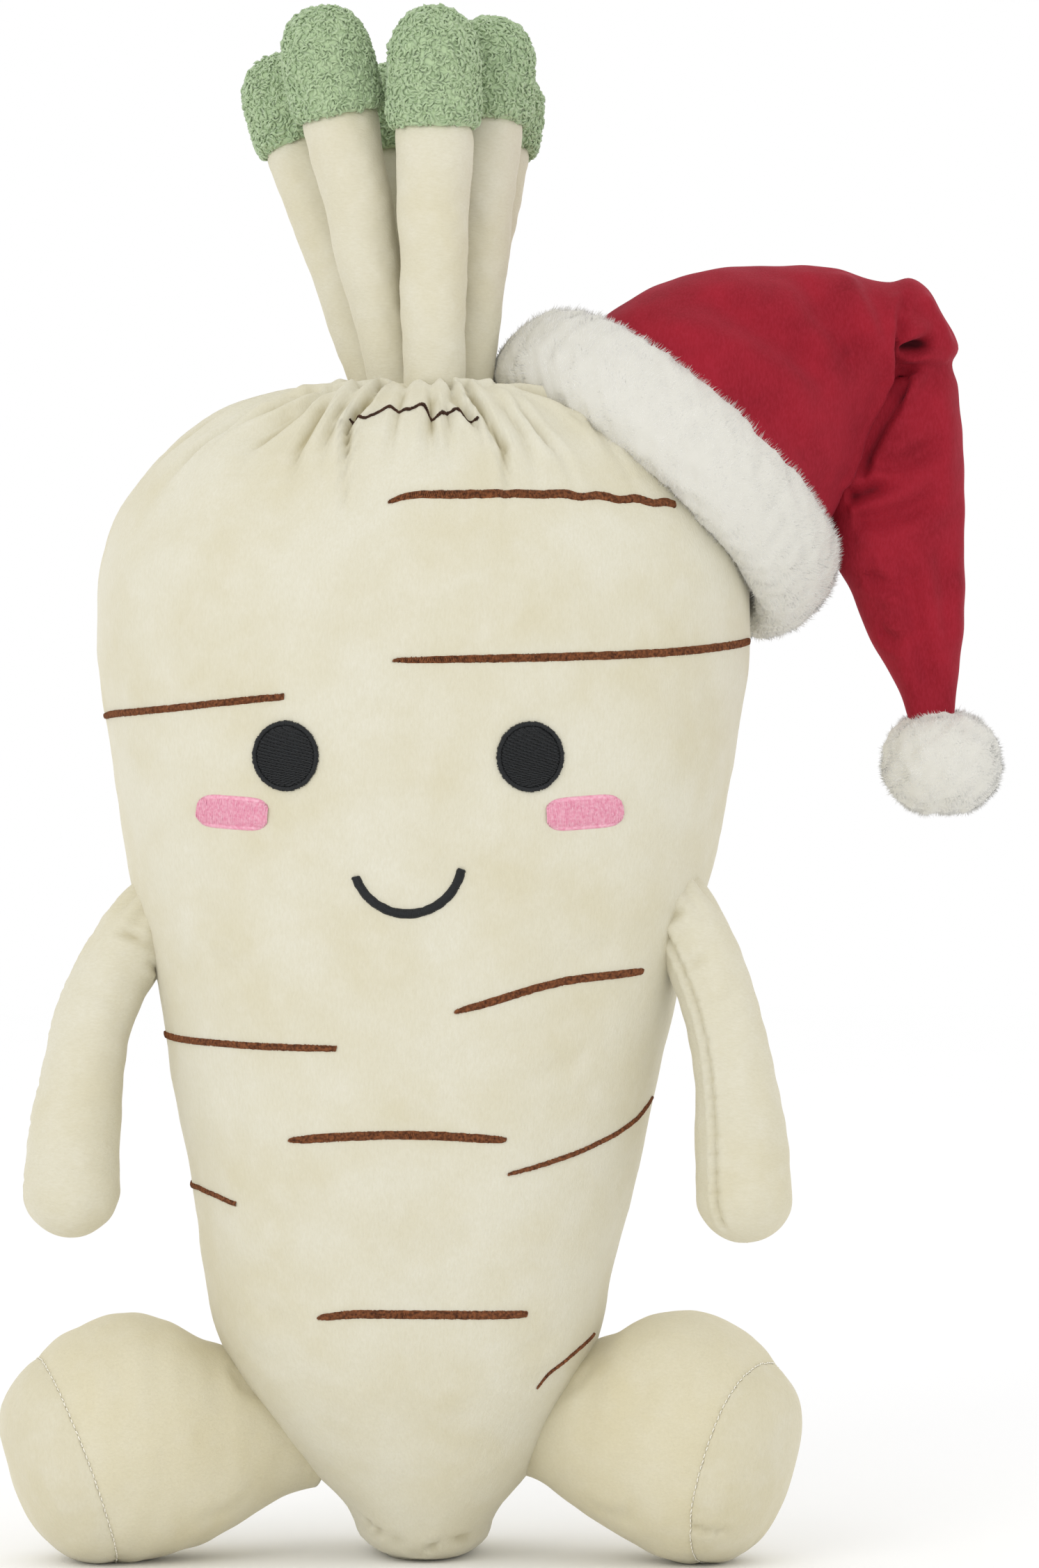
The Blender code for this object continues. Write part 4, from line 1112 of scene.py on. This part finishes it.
def make_pompom(fur, hair_fur_painted_light):
    turns = turns_round(POMPOM_SIDES)
    level, reach = round_out(np.linspace(radians(-88), radians(88), POMPOM_RINGS), POMPOM_POWER)
    ring = np.stack([np.cos(turns), np.sin(turns), np.zeros_like(turns)], axis=-1)
    grid = ring[None] * reach[:, None, None] + UP * level[:, None, None]
    out = unit(grid / POMPOM_CORE)
    grid = POMPOM_CENTRE + grid * POMPOM_CORE
    grid = grid + out * lock_heights(grid)[..., None]
    core = skin(grid)

    def lean(places):
        return 0.45 * wander(places, 14, (46, 47, 48))

    make_fur("hat_pompom", core, POMPOM_HAIRS, POMPOM_WISPS, POMPOM_HAIR, lean, 8, fur, hair_fur_painted_light)


def lay_threads(starts, ends, proud, dips=(-0.9, -0.9), points=5):
    """Threads over the body's cloth from places to places, given as share and turn.

    Each comes up through the cloth and goes down again. dips are how low its ends lie, as shares of the
    height of its middle.
    """
    steps = np.linspace(0, 1, points)
    share = starts[:, None, 0] + (ends - starts)[:, None, 0] * steps
    turn = starts[:, None, 1] + (ends - starts)[:, None, 1] * steps
    rise = np.array([dips[0]] + [0.5 + 0.5 * sin(pi * s) for s in steps[1:-1]] + [dips[1]]) * proud
    places, out = on_body(share, turn, np.broadcast_to(rise, share.shape))
    helper = np.cross(places[:, -1] - places[:, 0], out[:, points // 2])
    return tubes(places, THREAD_RADIUS, unit(helper))


def pad_ring(places, proud):
    return on_body(places[:, 0], places[:, 1], np.full(len(places), proud))[0]


def underlay(outline, centre, top):
    """A thin pad of crossed stitches under satin stitch, so that no cloth shows between its threads.

    The outline is a ring of places on the body, as share and turn, and top is how proud the pad stands.
    """
    sizes = (0.4, 0.8, 0.95, 0.95, 0.8, 0.55, 0.3, 0.08)
    heights = (-1.0, -1.0, -0.8, 0.1, top, top, top, top)
    rings = [pad_ring(centre + (outline - centre) * size, proud) for size, proud in zip(sizes, heights)]
    return skin(np.array(rings))


def band_underlay(low, high):
    """The same under a band of satin stitch, between its lower and upper edges."""
    outline = ((0.12, -1.0), (0.1, 0.1), (0.3, 0.5), (0.7, 0.5), (0.9, 0.1), (0.88, -1.0))
    rings = [pad_ring(low + (high - low) * share, proud) for share, proud in outline]
    return skin(np.stack(rings, axis=1)[::4])


def sew_band(node, low, high, proud, thread):
    """Threads across a band from its lower to its upper edge, over a pad."""
    shape = gather(band_underlay(low, high), lay_threads(low, high, proud))
    dress(new_piece(node + "_threads", shape, thread), node)


def flat_to_body(flat):
    """Share and turn on the body of places given as x and height."""
    return np.stack([share_at(flat[..., 1]), turn_at(flat[..., 0], flat[..., 1])], axis=-1)


def face_place(x, height, tilt):
    """Turns places round a middle on the face, tilted with it, into share and turn on the body."""
    turn = np.array(((cos(tilt), sin(tilt)), (-sin(tilt), cos(tilt))))
    return lambda flat: flat_to_body(np.array((x, height)) + flat @ turn)


def make_eye(name, thread):
    """A filled disc of level rows of stitches, inside a rim of stitches that point to its middle."""
    place = face_place(*EYES[name])
    draw = np.random.default_rng(9)
    half_width, half_height = EYE_HALF_WIDTH - EYE_RIM, EYE_HALF_HEIGHT - EYE_RIM
    starts, ends = [], []
    for i, level in enumerate(np.arange(-half_height + 0.2, half_height, THREAD_STEP)):
        reach = half_width * (1 - (level / half_height) ** 2) ** 0.5
        left = -reach - FILL_STITCH * ((i * 0.37) % 1)
        while left < reach:
            a, b = max(left, -reach - 0.4), min(left + FILL_STITCH, reach + 0.4)
            if b - a > 0.8:
                starts.append((a, level))
                ends.append((b, level + draw.uniform(-0.1, 0.1)))
            left += FILL_STITCH
    fill = lay_threads(place(np.array(starts)), place(np.array(ends)), FILL_PROUD, (0.35, 0.35))
    count = int(2 * pi * EYE_HALF_WIDTH / THREAD_STEP)
    angle = turns_round(count)
    ring = np.stack([np.cos(angle), np.sin(angle)], axis=-1)
    wide = np.array((EYE_HALF_WIDTH, EYE_HALF_HEIGHT)) + draw.uniform(-0.25, 0.3, (count, 1))
    slim = np.array((half_width, half_height)) - draw.uniform(0, 0.3, (count, 1))
    rim = lay_threads(place(ring * slim), place(ring * wide), TOP_PROUD)
    pad = underlay(place(ring[::6] * (EYE_HALF_WIDTH, EYE_HALF_HEIGHT)), place(np.zeros(2)), 0.4)
    dress(new_piece(f"eye_{name}_threads", gather(pad, fill, rim), thread), "eye_" + name)


def make_cheek(name, thread):
    """A rounded bar of long upright stitches, with short ones over them here and there."""
    *middle, half_width = CHEEKS[name]
    place = face_place(*middle)
    draw = np.random.default_rng(10)
    across = np.arange(0.25 - half_width, half_width, THREAD_STEP * 0.9)
    reach = CHEEK_HALF_HEIGHT * (1 - np.abs(across / half_width) ** CHEEK_POWER) ** (1 / CHEEK_POWER)
    lean = draw.uniform(-0.12, 0.12, len(across))
    size = np.array((half_width, CHEEK_HALF_HEIGHT))
    edge = np.stack(round_out(turns_round(40), CHEEK_POWER), axis=-1) * size
    parts = [underlay(place(edge), place(np.zeros(2)), 0.6)]
    ragged = draw.uniform(0, 0.25, (2, len(across)))
    level, length = draw.uniform(-0.45, 0.45, len(across)) * reach, draw.uniform(1.2, 2.4, len(across))
    shorts = draw.uniform(0, 1, len(across)) < 0.5
    rows = (
        (-reach - ragged[0], reach + ragged[1], CHEEK_PROUD, (-0.9, -0.9), slice(None)),
        (level - length, level + length, TOP_PROUD, (0.6, 0.6), shorts))
    for low, high, proud, dips, chosen in rows:
        starts = np.stack([across - lean, low], axis=-1)[chosen]
        ends = np.stack([across + lean, high], axis=-1)[chosen]
        parts.append(lay_threads(place(starts), place(ends), proud, dips, 7))
    dress(new_piece(f"cheek_{name}_threads", gather(*parts), thread), "cheek_" + name)


def satin_band(middle, half_width, slant, draw, ragged):
    """Threads laid side by side across a route of x or arc and height, with ragged ends."""
    along = unit(np.gradient(middle, axis=0))
    side = np.stack([-along[:, 1], along[:, 0]], axis=-1)
    count = len(middle)
    low = middle - side * (half_width + draw.uniform(-ragged, ragged, count))[:, None] - along * slant
    high = middle + side * (half_width + draw.uniform(-ragged, ragged, count))[:, None] + along * slant
    return low, high


def make_mouth(thread):
    count = int(2 * MOUTH_ARC * MOUTH_RADIUS / (THREAD_STEP * 0.85))
    angle = MOUTH_TILT + MOUTH_ARC * np.linspace(-1, 1, count)
    across, down = MOUTH_RADIUS * np.sin(angle), MOUTH_RADIUS * np.cos(angle)
    middle = np.stack([FACE_X + across, MOUTH_HEIGHT - down], axis=-1)
    draw = np.random.default_rng(12)
    low, high = satin_band(middle, np.full(count, MOUTH_WIDTH / 2), 0.3, draw, 0.22)
    sew_band("mouth", flat_to_body(low), flat_to_body(high), MOUTH_PROUD, thread)


def make_root_line(name, seed, thread):
    """A band of satin stitch that tapers towards its ends."""
    points, middle_width, first_width, last_width = LINES[name]
    flat = np.array([(radians(turn) * LINE_RADIUS, height) for turn, height in points])
    length = np.linalg.norm(np.diff(flat, axis=0), axis=1).sum()
    count = int(length / (THREAD_STEP * 0.9))
    share = np.linspace(0, 1, count)
    middle = smooth_curve(flat, share)
    draw = np.random.default_rng(seed)
    end_width = np.where(share < 0.5, first_width, last_width)
    width = end_width + (middle_width - end_width) * (1 - np.abs(2 * share - 1) ** 7) ** 0.5
    if name == "line_brow":
        # Its right half lies over small gathers, which narrow and lift it by turns.
        gathers = smooth_step(0.35, 0.6, share)
        width = width + gathers * 0.55 * np.sin(share * 40)
        middle[:, 1] += gathers * 0.6 * np.sin(share * 40 + 1)
    low, high = (
        np.stack([share_at(edge[:, 1]), edge[:, 0] / LINE_RADIUS], axis=-1)
        for edge in satin_band(middle, width / 2, 0.35, draw, 0.2))
    sew_band(name, low, high, LINE_PROUD, thread)


def make_floor():
    """A pale floor, as white as the studio round it."""
    finish, tree, shader, places = new_finish("white_backdrop_card")
    base = mix_by(tree, add_noise(tree, places, FLOOR_MOTTLE, 1.0), "#FEFEFE", "#FFFFFF")
    set_surface(tree, shader, base, 0.9, 0.0, ior=1.5)
    mesh = bpy.data.meshes.new("floor")
    corners = [(x * FLOOR_HALF, y * FLOOR_HALF, 0) for x, y in ((-1, -1), (1, -1), (1, 1), (-1, 1))]
    mesh.from_pydata(corners, [], [(0, 1, 2, 3)])
    mesh.materials.append(finish)
    add_object("floor", mesh)


def add_softbox(name, place, size, power):
    """A square soft light of the studio, turned to the toy."""
    light = bpy.data.lights.new(name, "AREA")
    light.shape = "SQUARE"
    light.size = size
    light.energy = power
    lamp = add_object(name, light)
    lamp.location = place
    lamp.rotation_euler = (Vector(LIGHT_AIM) - Vector(place)).to_track_quat("-Z", "Y").to_euler()


def light_studio():
    world = bpy.data.worlds.new("studio")
    world.use_nodes = True
    background = world.node_tree.nodes["Background"]
    background.inputs["Color"].default_value = (1, 1, 1, 1)
    background.inputs["Strength"].default_value = 1.0
    bpy.context.scene.world = world
    bpy.context.scene.view_settings.view_transform = "Standard"
    add_softbox("key", (-1.0, -2.0, 1.3), 1.2, 10)
    add_softbox("fill", (1.7, -1.8, 0.9), 1.6, 2)


def add_camera():
    camera = bpy.data.cameras.new("camera")
    camera.sensor_fit = "VERTICAL"
    camera.sensor_height = SENSOR
    camera.lens = CAMERA_LENS
    camera.clip_end = 30
    holder = add_object("camera", camera)
    holder.location = CAMERA_PLACE
    holder.rotation_euler = (pi / 2, 0, 0)
    bpy.context.scene.camera = holder


def main():
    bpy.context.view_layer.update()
    velboa = make_velboa("cream_velboa", (0.9, 0.9, 2.6))
    limb_velboa = make_velboa("cream_velboa_limbs", (2.4, 1.5, 0.9), pale="#D7D3C1", deep="#D1CAAF")
    leg_velboa = make_velboa(
        "cream_velboa_legs", (1.4, 1.4, 1.0), pale="#D8D2BA", deep="#D1C8A8", worn="#DBD6C4")
    sole_velboa = make_velboa("cream_velboa_soles", (1.2, 1.2, 2.2), pale="#D3CDB6", deep="#CEC6A8")
    sherpa = make_sherpa()
    velour = make_velour()
    # Lit and shaded copies of one white fur: the dense pile's is painted darker, as painted shade from the
    # hairs over it, which cast no shadow; the hairs' is painted paler, as painted light through them.
    fur = make_faux_fur("white_faux_fur", "#CFCDC4", "#D9D7CE")
    hairs = make_faux_fur("white_faux_fur_hairs_painted_light", "#EFEDE5", "#F7F5EE")
    black = make_thread("black_embroidery_thread", "#090B0D", "#15191C", 0.58, 0.04, 0.4)
    pink = make_thread("pink_embroidery_thread", "#DD86A2", "#EBB3C3", 0.45)
    brown = make_thread("brown_embroidery_thread", "#45230F", "#8C5532", 0.65, 0.0, 0.2)
    # A copy of the brown thread painted darker, as painted shade for the neck's line, which lies in the
    # neck's folds.
    brown_painted_shade = make_thread("brown_embroidery_thread_painted_shade", "#27160D", "#4E3020", 0.65, 0.0, 0.2)
    cream_thread = make_thread("cream_sewing_thread", "#EAE5D4", "#F3EFE2", 0.65)

    make_body(velboa)
    for seed, name in enumerate(STEMS):
        make_stem(name, limb_velboa)
        make_tip(name, 60 + seed, sherpa)
    for name in ARMS:
        make_arm(name, limb_velboa)
    for name in LEGS:
        make_leg(name, leg_velboa, sole_velboa, cream_thread)
    make_brim(fur, hairs)
    make_hat(velour)
    make_pompom(fur, hairs)
    for name in EYES:
        make_eye(name, black)
    for name in CHEEKS:
        make_cheek(name, pink)
    make_mouth(black)
    for seed, name in enumerate(LINES):
        # The neck's line takes the brown copy painted darker for shade.
        make_root_line(name, 80 + seed, brown_painted_shade if name == "line_neck" else brown)

    make_floor()
    light_studio()
    add_camera()


main()
